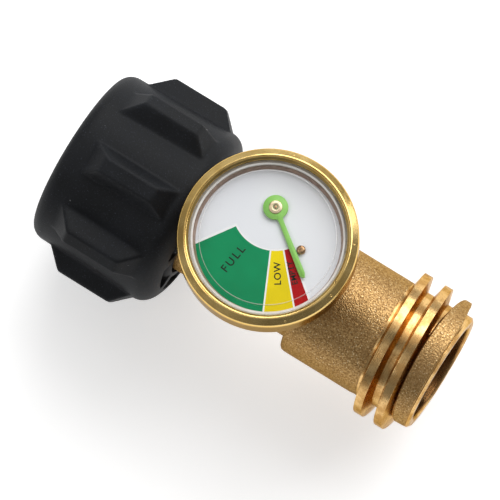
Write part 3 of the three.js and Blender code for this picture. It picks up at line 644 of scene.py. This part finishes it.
WINDOW_CLEAR = 0.004
PAINTED_WINDOW_RINGS = [                # painted highlight and reflection lines of the window's step: radius, half width, tone, cover
    (14.32, 0.03, (0.95, 0.95, 0.95), 0.60), (14.48, 0.02, (0.16, 0.15, 0.14), 0.35),
    (15.88, 0.16, (0.97, 0.96, 0.94), 0.85), (16.30, 0.14, (0.46, 0.40, 0.33), 0.60),
]

MACHINED_TONES = ((0.52, 0.33, 0.14), (0.76, 0.54, 0.27), (0.14, 0.34))

LOOKS = {                       # one finish for each material slot of the frame
    "wheel_plastic": moulded_black(),
    "bushing_plastic": moulded_olive(),
    "cast_brass": cast_brass(),
    "machined_brass": machined_brass("machined_brass", *MACHINED_TONES),
    "gold_brass": polished_gold(),
    "seal_rubber": plain_coat("black_rubber", 1800, grey(0.012), grey(0.022), (0.2, 0.45),
                              (0.00008, 0.5), gloss=0.35),
    "spring_steel": plain_metal("plain_steel", 500, (0.42, 0.42, 0.43), grey(0.62), (0.2, 0.36),
                                (4000, 0.00002, 0.4)),
    "window_plastic": clear_window(),
    "gasket_plastic": plain_coat("pale_gasket", 900, (0.66, 0.64, 0.57), (0.76, 0.75, 0.69),
                                 (0.2, 0.3), (0.00004, 0.4)),
    "dial_print": dial_print(),
    "pointer_lime": lime_paint(),
    "spring_bronze": plain_metal("rolled_bronze", 400, (0.36, 0.21, 0.075), (0.52, 0.32, 0.13),
                                 (0.22, 0.4), (3000, 0.00003, 0.4)),
    "stop_copper": plain_metal("turned_copper", 900, (0.34, 0.19, 0.095), (0.60, 0.40, 0.22),
                               (0.2, 0.42), (None, 0.00006, 0.5)),
}


def finish_frame_nodes():
    for name, node in frame["nodes"].items():
        node.data.materials.clear()
        node.data.materials.append(LOOKS[SLOT_OF[name]])


# ------------------------------------------------------------------ handwheel
RIM_R, WAIST_R = 20.25, 20.7
RIM_ROUND = 3.0
RIB_FOOT_R = 19.05
RIB_FROM, RIB_TO = 4.5, 27.5            # the rib's ends at its foot
RIB_CREST_FROM, RIB_CREST_TO = 9.6, 22.4
RIB_HALF_CREST, RIB_HALF_FOOT = 1.8, 4.26
POCKET_IN, POCKET_OUT, POCKET_DEEP, WEB = 13.2, 15.9, 1.9, 2.6
NECK_GAP_R = 11.6
GAP_EDGE_R = NECK_GAP_R + 0.9
RIM_EDGE_R = RIM_R - RIM_ROUND * 0.8
WALL_FRONT, WALL_BACK, WALL_HOLE_R = 23.3, 27.4, 9.66
WHEEL_BORE = THREAD_R + 0.3


def rib_radius(x, degrees):
    """Radius of the nearest rib's surface at this place, far inside the shell away from the rib."""
    step = 360 / RIBS
    off = abs((degrees - RIB_PHASE + step / 2) % step - step / 2)
    cosine, sine = math.cos(math.radians(off)), math.sin(math.radians(off))
    rise = RIB_R - RIB_FOOT_R
    side = rise / (RIB_HALF_FOOT - RIB_HALF_CREST)
    flank = (RIB_R + RIB_HALF_CREST * side) / (cosine + side * sine)
    front = (RIB_R - (RIB_CREST_FROM - x) * rise / (RIB_CREST_FROM - RIB_FROM)) / cosine
    rear = (RIB_R - (x - RIB_CREST_TO) * rise / (RIB_TO - RIB_CREST_TO)) / cosine
    radius = RIB_R / cosine
    for limit in (flank, front, rear):
        radius = smooth_min(radius, limit, 0.5)
    return radius


def pocket_depth(radius, degrees):
    step = 360 / RIBS
    off = abs((degrees - RIB_PHASE) % step - step / 2)      # 0 in the middle between two webs
    half = step / 2 * math.pi / 180 * radius - WEB / 2
    across_pocket = smooth_step(0, 0.35, half - math.radians(off) * radius)
    along_pocket = smooth_step(0, 0.35, radius - POCKET_IN) * smooth_step(0, 0.35, POCKET_OUT - radius)
    return POCKET_DEEP * across_pocket * along_pocket


def wheel_outline():
    """Outer side of the handwheel from its mouth to the neck gap, as (x, radius)."""
    rows = []
    for k in range(11):
        a = math.pi / 2 * k / 10
        rows.append((RIM_ROUND * (1 - math.cos(a)), RIM_R - RIM_ROUND * 0.8 * (1 - math.sin(a))))
    last = RIB_TO - 1.3
    for k in range(1, 49):
        x = RIM_ROUND + (last - RIM_ROUND) * k / 48
        rows.append((x, RIM_R + (WAIST_R - RIM_R) * k / 48))
    dome = WHEEL_END - last
    for k in range(1, 35):
        a = math.pi / 2 * k / 34
        radius = GAP_EDGE_R + (WAIST_R - NECK_GAP_R - 0.9) * math.cos(a) ** 0.75
        rows.append((last + dome * math.sin(a) ** 0.9, radius))
    return rows


def handwheel():
    columns = RIBS * 48
    outer = wheel_outline()
    verts, faces = [], []
    inner = rounded([
        (WHEEL_END, GAP_EDGE_R, 0.3), (WHEEL_END, NECK_GAP_R), (WALL_BACK, NECK_GAP_R),
        (WALL_BACK, WALL_HOLE_R), (WALL_FRONT, WALL_HOLE_R), (WALL_FRONT, WHEEL_BORE),
        (0.5, WHEEL_BORE), (0.0, WHEEL_BORE + 0.5), (0.0, RIM_EDGE_R),
    ], 0.15, 2, closed=False)
    rows = outer + [tuple(p) for p in inner[1:-1]]
    for k, (x, r) in enumerate(rows):
        for i in range(columns):
            degrees = 360 * i / columns
            here, away = r, x
            if k < len(outer):
                if RIB_FROM - 1 < x < RIB_TO + 1:
                    here = smooth_max(r, min(rib_radius(x, degrees), RIB_R + 0.2), 0.45)
                if x > RIB_TO - 0.5:
                    away = x - pocket_depth(here, degrees) * smooth_step(RIB_TO - 0.5, RIB_TO + 0.6, x)
            a = math.radians(degrees)
            verts.append((away, here * math.cos(a), here * math.sin(a)))
    for k in range(len(rows)):
        m = (k + 1) % len(rows)
        for i in range(columns):
            j = (i + 1) % columns
            faces.append((k * columns + i, k * columns + j, m * columns + j, m * columns + i))
    shell = obj_from("wheel_shell", verts, faces, LOOKS["wheel_plastic"], smooth_below=60)
    crest = THREAD_R - 3.1 + 0.65
    ridge = helix("wheel_thread", at=3.2, turns=(0.0, 2.7), root=WHEEL_BORE + 0.1, tip=crest,
                  root_wide=2.83, tip_wide=1.15, fade=(0.12, 0.12), look=LOOKS["wheel_plastic"])
    placed(joined("handwheel_moulding", [shell, ridge]), "handwheel", "handwheel")


# ------------------------------------------------------------------ threads
def swept(name, sections, look):
    """A closed sweep through sections of (x, radius, angle), capped at both ends."""
    count = len(sections[0][0])
    verts, faces = [], []
    for section, angle in sections:
        for x, radius in section:
            verts.append(along_x(x, radius, angle))
    for k in range(len(sections) - 1):
        for i in range(count):
            j = (i + 1) % count
            faces.append((k * count + i, k * count + j, (k + 1) * count + j, (k + 1) * count + i))
    faces.append(tuple(range(count)))
    faces.append(tuple(range(len(verts) - count, len(verts))))
    return obj_from(name, verts, faces, look, smooth_below=50)


def helix(name, at, turns, root, tip, root_wide, tip_wide, fade, look, seg=96, ease=0.22):
    """A thread ridge about X with eased crest edges, which fades in and out over part of a turn."""
    first, last = turns
    n = math.ceil((last - first) * seg)
    sign = 1 if tip > root else -1
    sections = []
    foot = root - sign * 0.15
    for i in range(n + 1):
        t = first + (last - first) * i / n
        grown = smooth_step(0, 1, min(1, (t - first) / fade[0] + 0.05, (last - t) / fade[1] + 0.05))
        r = root + (tip - root) * grown
        wide = root_wide + (tip_wide - root_wide) * grown
        centre = at + PITCH * t
        section = rounded([
            (centre - root_wide / 2, foot, 0), (centre - wide / 2, r),
            (centre + wide / 2, r), (centre + root_wide / 2, foot, 0),
        ], ease, 3)
        sections.append((section, 2 * math.pi * t))
    return swept(name, sections, look)


# ------------------------------------------------------------------ cast body and outlet
NECK_FROM, NECK_R = BODY_LOW.x, 10.8
TUBE_FROM, TUBE_R, SHOULDER = GAUGE_X + 10.1, 13.5, 2.0
BAND_FROM = BODY_END - 14.9
RIM_FROM, OUTLET_R = BODY_END - 2.1, 13.65
SEAT_R, SPRING_R, PASSAGE_R = 9.6, 7.4, 4.2
MOUTH_FLOOR, SEAT_FLOOR, SPRING_FLOOR = BODY_END - 9.2, BODY_END - 14.7, BODY_END - 27.7
SOCKET_R, SOCKET_DEEP = 6.91, 10.4
BOSS_R, BOSS_TOP = 9.6, 12.6
STEM_HOLE_R = 4.96
LINING_R = MOUTH_R + 0.02               # the machined sleeve's own bore, just inside the casting's


def cast_body():
    """Neck, tube and bore in one turned shape, with the round boss that carries the gauge."""
    t = TUBE_FROM
    outline = [
        (NECK_FROM, SOCKET_R), (NECK_FROM, NECK_R, 0.6),
        (t - 0.1, NECK_R, 0.5), (t + 0.2, TUBE_R, SHOULDER),
        (BAND_FROM, TUBE_R, 0), (BAND_FROM, TUBE_R - 0.5, 0), (BAND_FROM + 0.4, TUBE_R - 0.6, 0),
        (BAND_FROM + 0.4, MOUTH_R, 0), (MOUTH_FLOOR, MOUTH_R, 0), (MOUTH_FLOOR, SEAT_R),
        (SEAT_FLOOR, SEAT_R), (SEAT_FLOOR, SPRING_R),
        (SPRING_FLOOR, SPRING_R), (SPRING_FLOOR - 2.6, PASSAGE_R),
        (NECK_FROM + SOCKET_DEEP, PASSAGE_R), (NECK_FROM + SOCKET_DEEP, SOCKET_R),
    ]
    shell = turned("body_casting", outline, LOOKS["cast_brass"], seg=128, bend=0.25)
    boss = turned("gauge_boss", [
        (PASSAGE_R + 2.2, STEM_HOLE_R), (PASSAGE_R + 2.2, BOSS_R),
        (BOSS_TOP, BOSS_R, 0.5), (BOSS_TOP, STEM_HOLE_R),
    ], LOOKS["cast_brass"], about(GAUGE_X, 0), seg=96)
    return [shell, boss]


def outlet_band():
    """The machined end of the tube: band, rim with its chamfer, and mouth wall."""
    core = OUTLET_CORE
    return turned("outlet_sleeve", [
        (BAND_FROM + 0.3, LINING_R, 0), (BAND_FROM + 0.3, TUBE_R - 0.62, 0),
        (BAND_FROM + 0.01, TUBE_R, 0), (BAND_FROM + 0.9, core, 0.3),
        (RIM_FROM, core, 0.1), (RIM_FROM + 0.12, OUTLET_R, 0.1),
        (BODY_END - 0.5, OUTLET_R, 0.08), (BODY_END, OUTLET_R - 0.62, 0.08),
        (BODY_END, MOUTH_R + 0.42, 0.08), (BODY_END - 0.5, LINING_R, 0.08),
    ], RUN_IN, seg=144, bend=0.1)


def outlet_thread():
    core = OUTLET_CORE
    crest = 1.9
    flank = 2 * math.tan(math.radians(14.5)) * (THREAD_R - core)
    return helix("outlet_thread", at=THREAD_AT, turns=(-0.3, 1.97), root=core, tip=THREAD_R,
                 root_wide=crest + flank, tip_wide=crest, fade=(0.16, 0.05), look=BRIGHT,
                 seg=160, ease=0.07)


def cast_runout():
    """The last tooth, left as cast: a wide band whose radius falls away towards the rim."""
    core = OUTLET_CORE
    first, last = -10, 182              # degrees round the body
    tall, low = 16.5, 13.9
    steps = 96
    sections = []
    for i in range(steps + 1):
        k = i / steps
        opened = smooth_step(0, 0.4, k)
        r = tall + (low - tall) * k
        back = RIM_FROM - 1.15 - 1.7 * math.sin(math.pi * k)
        front = RIM_FROM - 0.4 + 1.85 * opened
        section = rounded([
            (back - (r - core) * 0.3, core - 0.2, 0), (back, r, 0.25),
            (front, r - 0.12 * opened, 0.2), (front + 0.02, core - 0.2, 0),
        ], 0.2, 3)
        sections.append((section, math.radians(first + (last - first) * k)))
    return swept("cast_runout", sections, LOOKS["cast_brass"])


def valve_body():
    pieces = [*cast_body(), outlet_band(), outlet_thread(), cast_runout()]
    placed(joined("cast_valve_body", pieces), "body", "valve_body")


# ------------------------------------------------------------------ inlet
def inlet():
    probe_r, bore, nose = 6.0, 4.2, 3.4
    groove_r, shank_r, tail_r = 4.7, 7.4, 6.85
    tip = box_mm("inlet_nipple")[0].x
    tail = box_mm("inlet_nipple")[1].x
    flange_from, flange_to, flange_r = 15.0, 18.4, across("inlet_nipple", 1)
    nipple = turned("turned_nipple", [
        (tip, nose, 0.15), (tip, probe_r - 0.75, 0.5), (tip + 1.1, probe_r, 0.6),
        (3.4, probe_r, 0.1), (3.4, groove_r, 0.1), (5.6, groove_r, 0.1), (5.6, probe_r, 0.1),
        (flange_from - 2.4, probe_r, 0.5), (flange_from, probe_r + 1.4, 0.3),
        (flange_from + 0.4, flange_r, 0.3), (flange_to, flange_r, 0.3), (flange_to, shank_r, 0.1),
        (NECK_FROM, shank_r, 0.05), (NECK_FROM, tail_r, 0.05), (tail, tail_r), (tail, bore),
        (7.0, bore), (6.4, nose),
    ], LOOKS["machined_brass"], bend=0.15)
    placed(nipple, "body", "inlet_nipple")
    seal_low, seal_high = box_mm("nose_seal")
    centre = (seal_low.x + seal_high.x) / 2
    half = (seal_high.x - seal_low.x) / 2
    inner, tube = groove_r + 0.06, 0.8
    ring = []
    for k in range(24):
        a = 2 * math.pi * k / 24
        ring.append((centre + half * math.cos(a), inner + tube + tube * math.sin(a), 0))
    placed(turned("nose_ring", ring, LOOKS["seal_rubber"]), "body", "nose_seal")
    low, high = box_mm("thermal_bushing")
    flange = across("thermal_bushing", 1)
    hole, outside, step = 7.48, 9.58, WALL_FRONT - 0.08
    bushing = turned("bushing_moulding", [
        (low.x, hole), (low.x, flange, 0.4), (step, flange, 0.2), (step, outside, 0.1),
        (high.x, outside), (high.x, hole),
    ], LOOKS["bushing_plastic"])
    placed(bushing, "bushing", "thermal_bushing")


# ------------------------------------------------------------------ outlet valve
def outlet_valve():
    low, high = box_mm("outlet_plunger")
    head_r, stem_r, guide_r = across("outlet_plunger", 1), 3.0, 2.0
    back = low.x + 7.2
    plunger = turned("plunger_turning", [
        (low.x, 0), (low.x, guide_r, 0.35), (back, guide_r, 0.1), (back, head_r, 0.2),
        (SEAT_FLOOR, head_r, 0.35), (SEAT_FLOOR, stem_r + 0.3, 0.1), (SEAT_FLOOR + 0.6, stem_r, 0.2),
        (high.x, stem_r, 0.5), (high.x, 0),
    ], LOOKS["machined_brass"])
    placed(plunger, "outlet_plunger", "outlet_plunger")
    hole, r, face = head_r - 0.75, SEAT_R - 0.06, SEAT_FLOOR + 0.06
    seat = turned("seat_ring_turning", [
        (face, hole), (face, r), (face + 2.4, r),
        (face + 2.4, hole - 0.4), (face + 1.2, hole - 0.4, 0.2),
    ], LOOKS["machined_brass"], bend=0.1)
    placed(seat, "body", "outlet_seat_ring")
    seal = turned("outlet_seal_moulding", [
        (face + 2.45, hole - 0.7), (face + 2.45, r), (MOUTH_FLOOR - 0.15, r, 0.3),
        (MOUTH_FLOOR + 0.35, r - 0.9, 0.3), (MOUTH_FLOOR + 0.35, hole + 0.6, 0.4),
        (face + 3.6, hole - 0.7, 0.4),
    ], LOOKS["seal_rubber"], bend=0.12)
    placed(seal, "body", "outlet_seal")


# ------------------------------------------------------------------ springs
def spring_tree():
    """Geometry Nodes: a coil of wire, swept along a line of points."""
    tree = bpy.data.node_groups.new("coil_spring", "GeometryNodeTree")
    for name in ("Turns", "Coil Radius", "End Radius", "Length", "Wire Radius"):
        tree.interface.new_socket(name, in_out="INPUT", socket_type="NodeSocketFloat")
    tree.interface.new_socket("Look", in_out="INPUT", socket_type="NodeSocketMaterial")
    tree.interface.new_socket("Geometry", in_out="OUTPUT", socket_type="NodeSocketGeometry")
    given = tree.nodes.new("NodeGroupInput")
    spiral = tree.nodes.new("GeometryNodeCurveSpiral")
    spiral.inputs["Resolution"].default_value = 40
    wire = tree.nodes.new("GeometryNodeCurvePrimitiveCircle")
    wire.inputs["Resolution"].default_value = 12
    sweep = tree.nodes.new("GeometryNodeCurveToMesh")
    sweep.inputs["Fill Caps"].default_value = True
    real = tree.nodes.new("GeometryNodeRealizeInstances")
    paint = tree.nodes.new("GeometryNodeSetMaterial")
    out = tree.nodes.new("NodeGroupOutput")
    for source, output, target, entry in (
            (given, "Turns", spiral, "Rotations"),
            (given, "Coil Radius", spiral, "Start Radius"),
            (given, "End Radius", spiral, "End Radius"),
            (given, "Length", spiral, "Height"),
            (given, "Wire Radius", wire, "Radius"),
            (spiral, "Curve", sweep, "Curve"),
            (wire, "Curve", sweep, "Profile Curve"),
            (sweep, "Mesh", real, "Geometry"),
            (real, "Geometry", paint, "Geometry"),
            (given, "Look", paint, "Material"),
            (paint, "Geometry", out, "Geometry")):
        tree.links.new(source.outputs[output], target.inputs[entry])
    return tree


def grown(name, tree, values):
    """The tree's result as a plain mesh, with its inputs set by their sockets' identifiers."""
    holder = bpy.data.objects.new(name + "_maker", bpy.data.meshes.new(name + "_empty"))
    bpy.context.scene.collection.objects.link(holder)
    modifier = holder.modifiers.new("maker", "NODES")
    modifier.node_group = tree
    for item in tree.interface.items_tree:
        if item.item_type == "SOCKET" and item.in_out == "INPUT" and item.name in values:
            modifier[item.identifier] = values[item.name]
    bpy.context.view_layer.update()
    evaluated = holder.evaluated_get(bpy.context.evaluated_depsgraph_get())
    mesh = bpy.data.meshes.new_from_object(evaluated)
    holder.modifiers.remove(modifier)
    bpy.data.objects.remove(holder)
    return mesh


def spring(name, node, wire, turns, tree, joint):
    """A coil of wire filling its node's box, riding on the body."""
    low, high = box_mm(node)
    radius = ((high.y - low.y) / 2 - wire) * MM
    length = high.x - low.x - 2 * wire
    mesh = grown(name, tree, {
        "Turns": turns, "Coil Radius": radius, "End Radius": radius,
        "Length": length * MM, "Wire Radius": wire * MM, "Look": LOOKS["spring_steel"],
    })
    shift = Matrix.Translation(((low.x + wire) * MM, 0, 0))
    mesh.transform(shift @ Matrix.Rotation(math.pi / 2, 4, "Y"))
    piece = placed(finished(name, mesh, LOOKS["spring_steel"], weld=True), "body", node)
    motion = next(row for row in frame["joints"] if row["name"] == joint)
    travel = max(abs(value) for value in motion["range_m"])
    1 - travel / ((high.x - low.x) * MM)
    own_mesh(piece)


# ------------------------------------------------------------------ gauge
BEZEL_R = across("bezel", 1)
BEZEL_TOP = BEZEL_HIGH.z
BEZEL_FACE, WINDOW_SLOPE, SHEET = 2.5, 2.25, 0.8
WINDOW_R = BEZEL_R - BEZEL_FACE
GASKET_WIDE = 1.9


def gauge_shell():
    place = about(GAUGE_X, 0)
    case_r = BEZEL_R - 1.0 - 0.1 - 1.35
    flange_r = BEZEL_R - 1.1
    flange_z = BEZEL_LOW.z + 0.8
    seat_z = DIAL_LOW.z
    low, high, hole = CASE_LOW.z, CASE_HIGH.z, 4.9
    case = turned("gauge_cup", [
        (low, hole), (low, case_r, 0.9), (flange_z, case_r, 0.15), (flange_z, flange_r, 0.15),
        (high, flange_r, 0.1), (high, flange_r - SHEET, 0.1), (seat_z, flange_r - SHEET, 0.05),
        (seat_z, case_r - SHEET, 0.1), (low + SHEET, case_r - SHEET, 0.6), (low + SHEET, hole),
    ], LOOKS["gold_brass"], place, seg=128)
    placed(case, "body", "gauge_case")
    b, top, w = BEZEL_R, BEZEL_TOP, WINDOW_R
    under = LENS_LOW.z + 1.3
    hold = flange_r + 0.1
    bezel = turned("bezel_ring", [
        (BEZEL_LOW.z, case_r + 0.4, 0.1), (BEZEL_LOW.z, b - 0.1, 0.45), (BEZEL_LOW.z + 0.5, b, 0.3),
        (top - 1.5, b, 0.35), (top - 0.9, b - 0.22, 0.35), (top - 0.1, b - 1.45, 0.4),
        (top, b - 1.74, 0.12), (top - 0.42, b - 1.86, 0.06), (top - 0.46, b - 2.02, 0.06),
        (top - 0.9, w, 0.12), (under, w, 0.1), (under, hold, 0),
        (flange_z - 0.05, hold, 0), (flange_z - 0.05, case_r + 0.4, 0.1),
    ], LOOKS["gold_brass"], place, seg=160, steps=5)
    placed(bezel, "body", "bezel")
    plateau = LENS_HIGH.z - LENS_LOW.z - 1.2
    edge = LENS_LOW.z + 1.2
    raise_r = WINDOW_R - WINDOW_SLOPE
    lens = turned("window", [
        (LENS_LOW.z, 0), (LENS_LOW.z, flange_r, 0.1), (edge, flange_r, 0.1),
        (edge, raise_r + plateau, 0.15), (LENS_HIGH.z, raise_r, 0.3), (LENS_HIGH.z, 0),
    ], LOOKS["window_plastic"], place, seg=144, steps=4)
    placed(lens, "body", "window_lens")
    ring_r = flange_r - SHEET - 0.06
    inner = ring_r - GASKET_WIDE
    low, high = DIAL_HIGH.z, LENS_LOW.z
    gasket = turned("gasket_white", [
        (low, inner + 0.14), (low, ring_r), (high, ring_r), (high, inner + 0.62, 0.08),
    ], LOOKS["gasket_plastic"], place, seg=128, bend=0.12)
    # painted shade: a thin brown ring for the gasket's inner wall in shadow
    shade_liner = turned("gasket_shade_liner", [
        (low, inner), (low, inner + 0.12),
        (high - 0.04, inner + 0.60, 0.02), (high - 0.04, inner + 0.46, 0.02),
    ], SHADE_LINER, place, seg=128, bend=0.02)
    placed(joined("gasket_ring", [gasket, shade_liner]), "body", "window_gasket")


def dial():
    edge = across("dial", 1)
    card = turned("dial_card", [
        (DIAL_LOW.z, 0), (DIAL_LOW.z, edge, 0.08), (DIAL_HIGH.z, edge, 0.08), (DIAL_HIGH.z, 0),
    ], LOOKS["dial_print"], about(GAUGE_X, 0), seg=128)
    words = [
        lettering("FULL", 1.75, 14.0, -97, 1.35),
        lettering("LOW", 1.45, 14.0, -56, 1.1),
        lettering("EMPTY", 1.2, 14.3, -43.6, 1.05),
    ]
    placed(joined("dial_face", [card, *words]), "body", "dial")


def lettering(word, height, radius, degrees, spacing):
    """A printed word, a hair above the card, read from outside at its radius about the pivot."""
    name = "word_" + word.lower()
    curve = bpy.data.curves.new(name, "FONT")
    curve.body = word
    curve.align_x, curve.align_y = "CENTER", "CENTER"
    curve.size = height * 1.38 * MM
    curve.space_character = spacing
    curve.offset = 0.00003
    curve.extrude = 0.000008
    curve.resolution_u = 4
    text = bpy.data.objects.new(name + "_text", curve)
    bpy.context.scene.collection.objects.link(text)
    bpy.context.view_layer.update()
    mesh = bpy.data.meshes.new_from_object(text.evaluated_get(bpy.context.evaluated_depsgraph_get()))
    bpy.data.objects.remove(text)
    x, y = polar(radius, degrees, PIVOT)
    shift = Matrix.Translation((x * MM, y * MM, (DIAL_HIGH.z + 0.012) * MM))
    mesh.transform(shift @ Matrix.Rotation(math.radians(degrees + 180), 4, "Z"))
    return finished(name, mesh, INK, weld=True, recalc=False)


def pointer():
    low, high = box_mm("pointer")
    tip, hub_r, width = 16.2, 2.64, 1.3
    outline = []
    start = math.degrees(math.asin(0.62 / hub_r))
    for k in range(57):
        outline.append(polar(hub_r, start + (360 - 2 * start) * k / 56))
    outline += [(hub_r + 0.9, -0.52), (tip - 1.0, -width / 2)]
    for k in range(5):
        x = tip - 0.55 + 0.55 * math.sin(math.pi * k / 8)
        outline.append((x, -0.42 + 0.84 * k / 5 - 0.18 * (1 - k / 4)))
    outline += [(tip - 1.0, width / 2), (hub_r + 0.9, 0.52)]
    a = math.radians(POINTER_ANGLE)
    turned_points = []
    for x, y in outline:
        along = x * math.cos(a) - y * math.sin(a)
        aside = x * math.sin(a) + y * math.cos(a)
        turned_points.append((PIVOT.x + along, PIVOT.y + aside))
    hand = prism("pointer_hand", turned_points, low.z, high.z, LOOKS["pointer_lime"], 0.07)
    placed(hand, "pointer", "pointer")


def pointer_hub():
    low, high = box_mm("pointer_bushing")
    foot, top, r = low.z, high.z, across("pointer_bushing", 1)
    ring = turned("hub_ring", [
        (foot, 0), (foot, r, 0.1), (top - 0.06, r, 0.16), (top, r * 0.62, 0.2),
        (top - 0.03, 0.56, 0.08), (top - 0.40, 0.50, 0.05), (top - 0.40, 0.0),
    ], PALE_BRASS, about(PIVOT.x, PIVOT.y), seg=64)
    pin = turned("hub_pin", [
        (top - 0.42, 0), (top - 0.42, 0.40), (top - 0.08, 0.36, 0.1), (top - 0.05, 0.0),
    ], LOOKS["stop_copper"], about(PIVOT.x, PIVOT.y), seg=48, bend=0.05)
    placed(joined("pointer_hub", [ring, pin]), "pointer", "pointer_bushing")


def stop_pin():
    low, high = box_mm("stop_pin")
    foot, top, r = low.z, high.z, across("stop_pin", 1)
    post = turned("stop_post", [
        (foot, 0), (foot, r, 0.1), (top - 0.25, r, 0.3), (top - 0.02, r * 0.55, 0.2), (top, 0.0),
    ], LOOKS["stop_copper"], about(PIN.x, PIN.y), seg=48)
    placed(post, "body", "stop_pin")


# ------------------------------------------------------------------ stage
DARK_AT = (-0.09, -0.01, 0.996)     # where the ceiling's dark spot lies
DARK_WIDE = 12                      # its half width in degrees
SKY_NEAR, SKY_FAR, SKY_RIGHT = 0.62, 1.25, 0.45


def stage():
    size = 3.0
    floor_z = cad_box[0][2] - 0.0004
    mesh = bpy.data.meshes.new("floor")
    corners = [(-size, -size), (size, -size), (size, size), (-size, size)]
    mesh.from_pydata([(x, y, floor_z) for x, y in corners], [], [(0, 1, 2, 3)])
    look = Look("pale_floor", Specular_IOR_Level=0.1)
    look.done(Emission_Color=(1, 1, 1, 1), Emission_Strength=0.42)
    tone = look.mix(look.fade(look.noise(3), 0.3, 0.7), (0.93, 0.93, 0.935), (0.95, 0.95, 0.95))
    mesh.materials.append(look.done(Base_Color=tone, Roughness=look.noise(20) * 0.1 + 0.8))
    floor = bpy.data.objects.new("floor", mesh)
    bpy.context.scene.collection.objects.link(floor)


def studio_sky():
    world = bpy.data.worlds.new("studio")
    bpy.context.scene.world = world
    world.use_nodes = True
    sky = Tree(world.node_tree)
    x, y, z = sky.split(sky.add("ShaderNodeTexCoord"))
    height = sky.ramp(z * 0.5 + 0.5, (0.0, grey(0.62)), (0.5, grey(0.62)), (0.66, grey(0.34)),
                      (0.82, grey(0.55)), (0.93, grey(0.85)))
    lit = sky.mix(sky.fade(y, -0.35, 0.35), grey(SKY_NEAR), grey(SKY_FAR))
    side = sky.mix(sky.fade(x, -0.15, 0.5), grey(1.0), grey(SKY_RIGHT))
    level = sky.mix(1.0, sky.mix(1.0, height, lit, "MULTIPLY"), side, "MULTIPLY")
    facing = x * DARK_AT[0] + y * DARK_AT[1] + z * DARK_AT[2]
    outer, inner = math.radians(DARK_WIDE + 2.5), math.radians(DARK_WIDE - 1.5)
    level = sky.mix(sky.fade(facing, math.cos(outer), math.cos(inner)), level, grey(0.10))
    sky.feed(world.node_tree.nodes["Background"].inputs[0], level)
    bpy.context.scene.view_settings.view_transform = "Standard"


def soft_light(name, place, size, power, aim):
    data = bpy.data.lights.new(name, "AREA")
    data.shape = "RECTANGLE"
    data.size, data.size_y = size
    data.energy = power
    lamp = bpy.data.objects.new(name, data)
    lamp.location = place
    lamp.rotation_euler = (Vector(aim) - Vector(place)).to_track_quat("-Z", "Y").to_euler()
    bpy.context.scene.collection.objects.link(lamp)


CAMERA = {"azimuth": 40.09, "elevation": 78.04, "roll": -7.95, "distance": 1.057, "focal": 9.98,
          "shift": (-4.284, 1.402)}


def camera():
    """Azimuth 0 looks along +Y; focal is in frame widths, and the shift is in mm at the object."""
    a, e = math.radians(CAMERA["azimuth"]), math.radians(CAMERA["elevation"])
    roll = math.radians(CAMERA["roll"])
    back = Vector((math.sin(a) * math.cos(e), -math.cos(a) * math.cos(e), math.sin(e)))
    flat = Vector((0, 0, 1)).cross(back).normalized()
    rise = back.cross(flat)
    right = flat * math.cos(roll) + rise * math.sin(roll)
    up = rise * math.cos(roll) - flat * math.sin(roll)
    aim = Vector((GAUGE_X, 0, 14.0)) * MM
    aim += (right * CAMERA["shift"][0] + up * CAMERA["shift"][1]) * MM
    data = bpy.data.cameras.new("camera")
    data.sensor_width = 36
    data.lens = 36 * CAMERA["focal"]
    data.clip_end = 20
    eye = bpy.data.objects.new("camera", data)
    turn = Matrix((right, up, back)).transposed().to_4x4()
    eye.matrix_world = Matrix.Translation(aim + back * CAMERA["distance"]) @ turn
    bpy.context.scene.collection.objects.link(eye)
    bpy.context.scene.camera = eye


def lights():
    aim = (GAUGE_X * MM, 0, 0.014)
    soft_light("key", (0.10, 0.80, 0.80), (1.4, 0.9), 11, aim)
    soft_light("fill", (-0.55, -0.55, 0.9), (0.6, 0.4), 1.5, aim)


# ------------------------------------------------------------------ build
BRIGHT = machined_brass("bright_brass", *BRIGHT_TONES)
RUN_IN = machined_brass("run_in_brass", *BRIGHT_TONES, run_in=True)
# painted shade: the brown of the gasket's inner wall in shadow
SHADE_LINER = plain_coat("painted_shade_liner", 700, (0.27, 0.18, 0.13), (0.42, 0.27, 0.20), (0.2, 0.2),
                   (0.00004, 0.4))
PALE_BRASS = machined_brass("pale_brass", (0.70, 0.55, 0.34), (0.84, 0.70, 0.48), (0.32, 0.44))
INK = plain_coat("black_ink", 2600, (0.006, 0.014, 0.010), (0.014, 0.024, 0.018), (0.1, 0.32),
                 (0.00002, 0.3), gloss=0.12, detail=2)
finish_frame_nodes()
handwheel()
valve_body()
inlet()
outlet_valve()
coil = spring_tree()
spring("flow_coil", "flow_spring", 0.26, 4.5, coil, "flow_poppet_slide")
spring("outlet_coil", "outlet_spring", 0.45, 5.5, coil, "outlet_plunger_slide")
gauge_shell()
dial()
pointer()
pointer_hub()
stop_pin()
stage()
studio_sky()
lights()
camera()
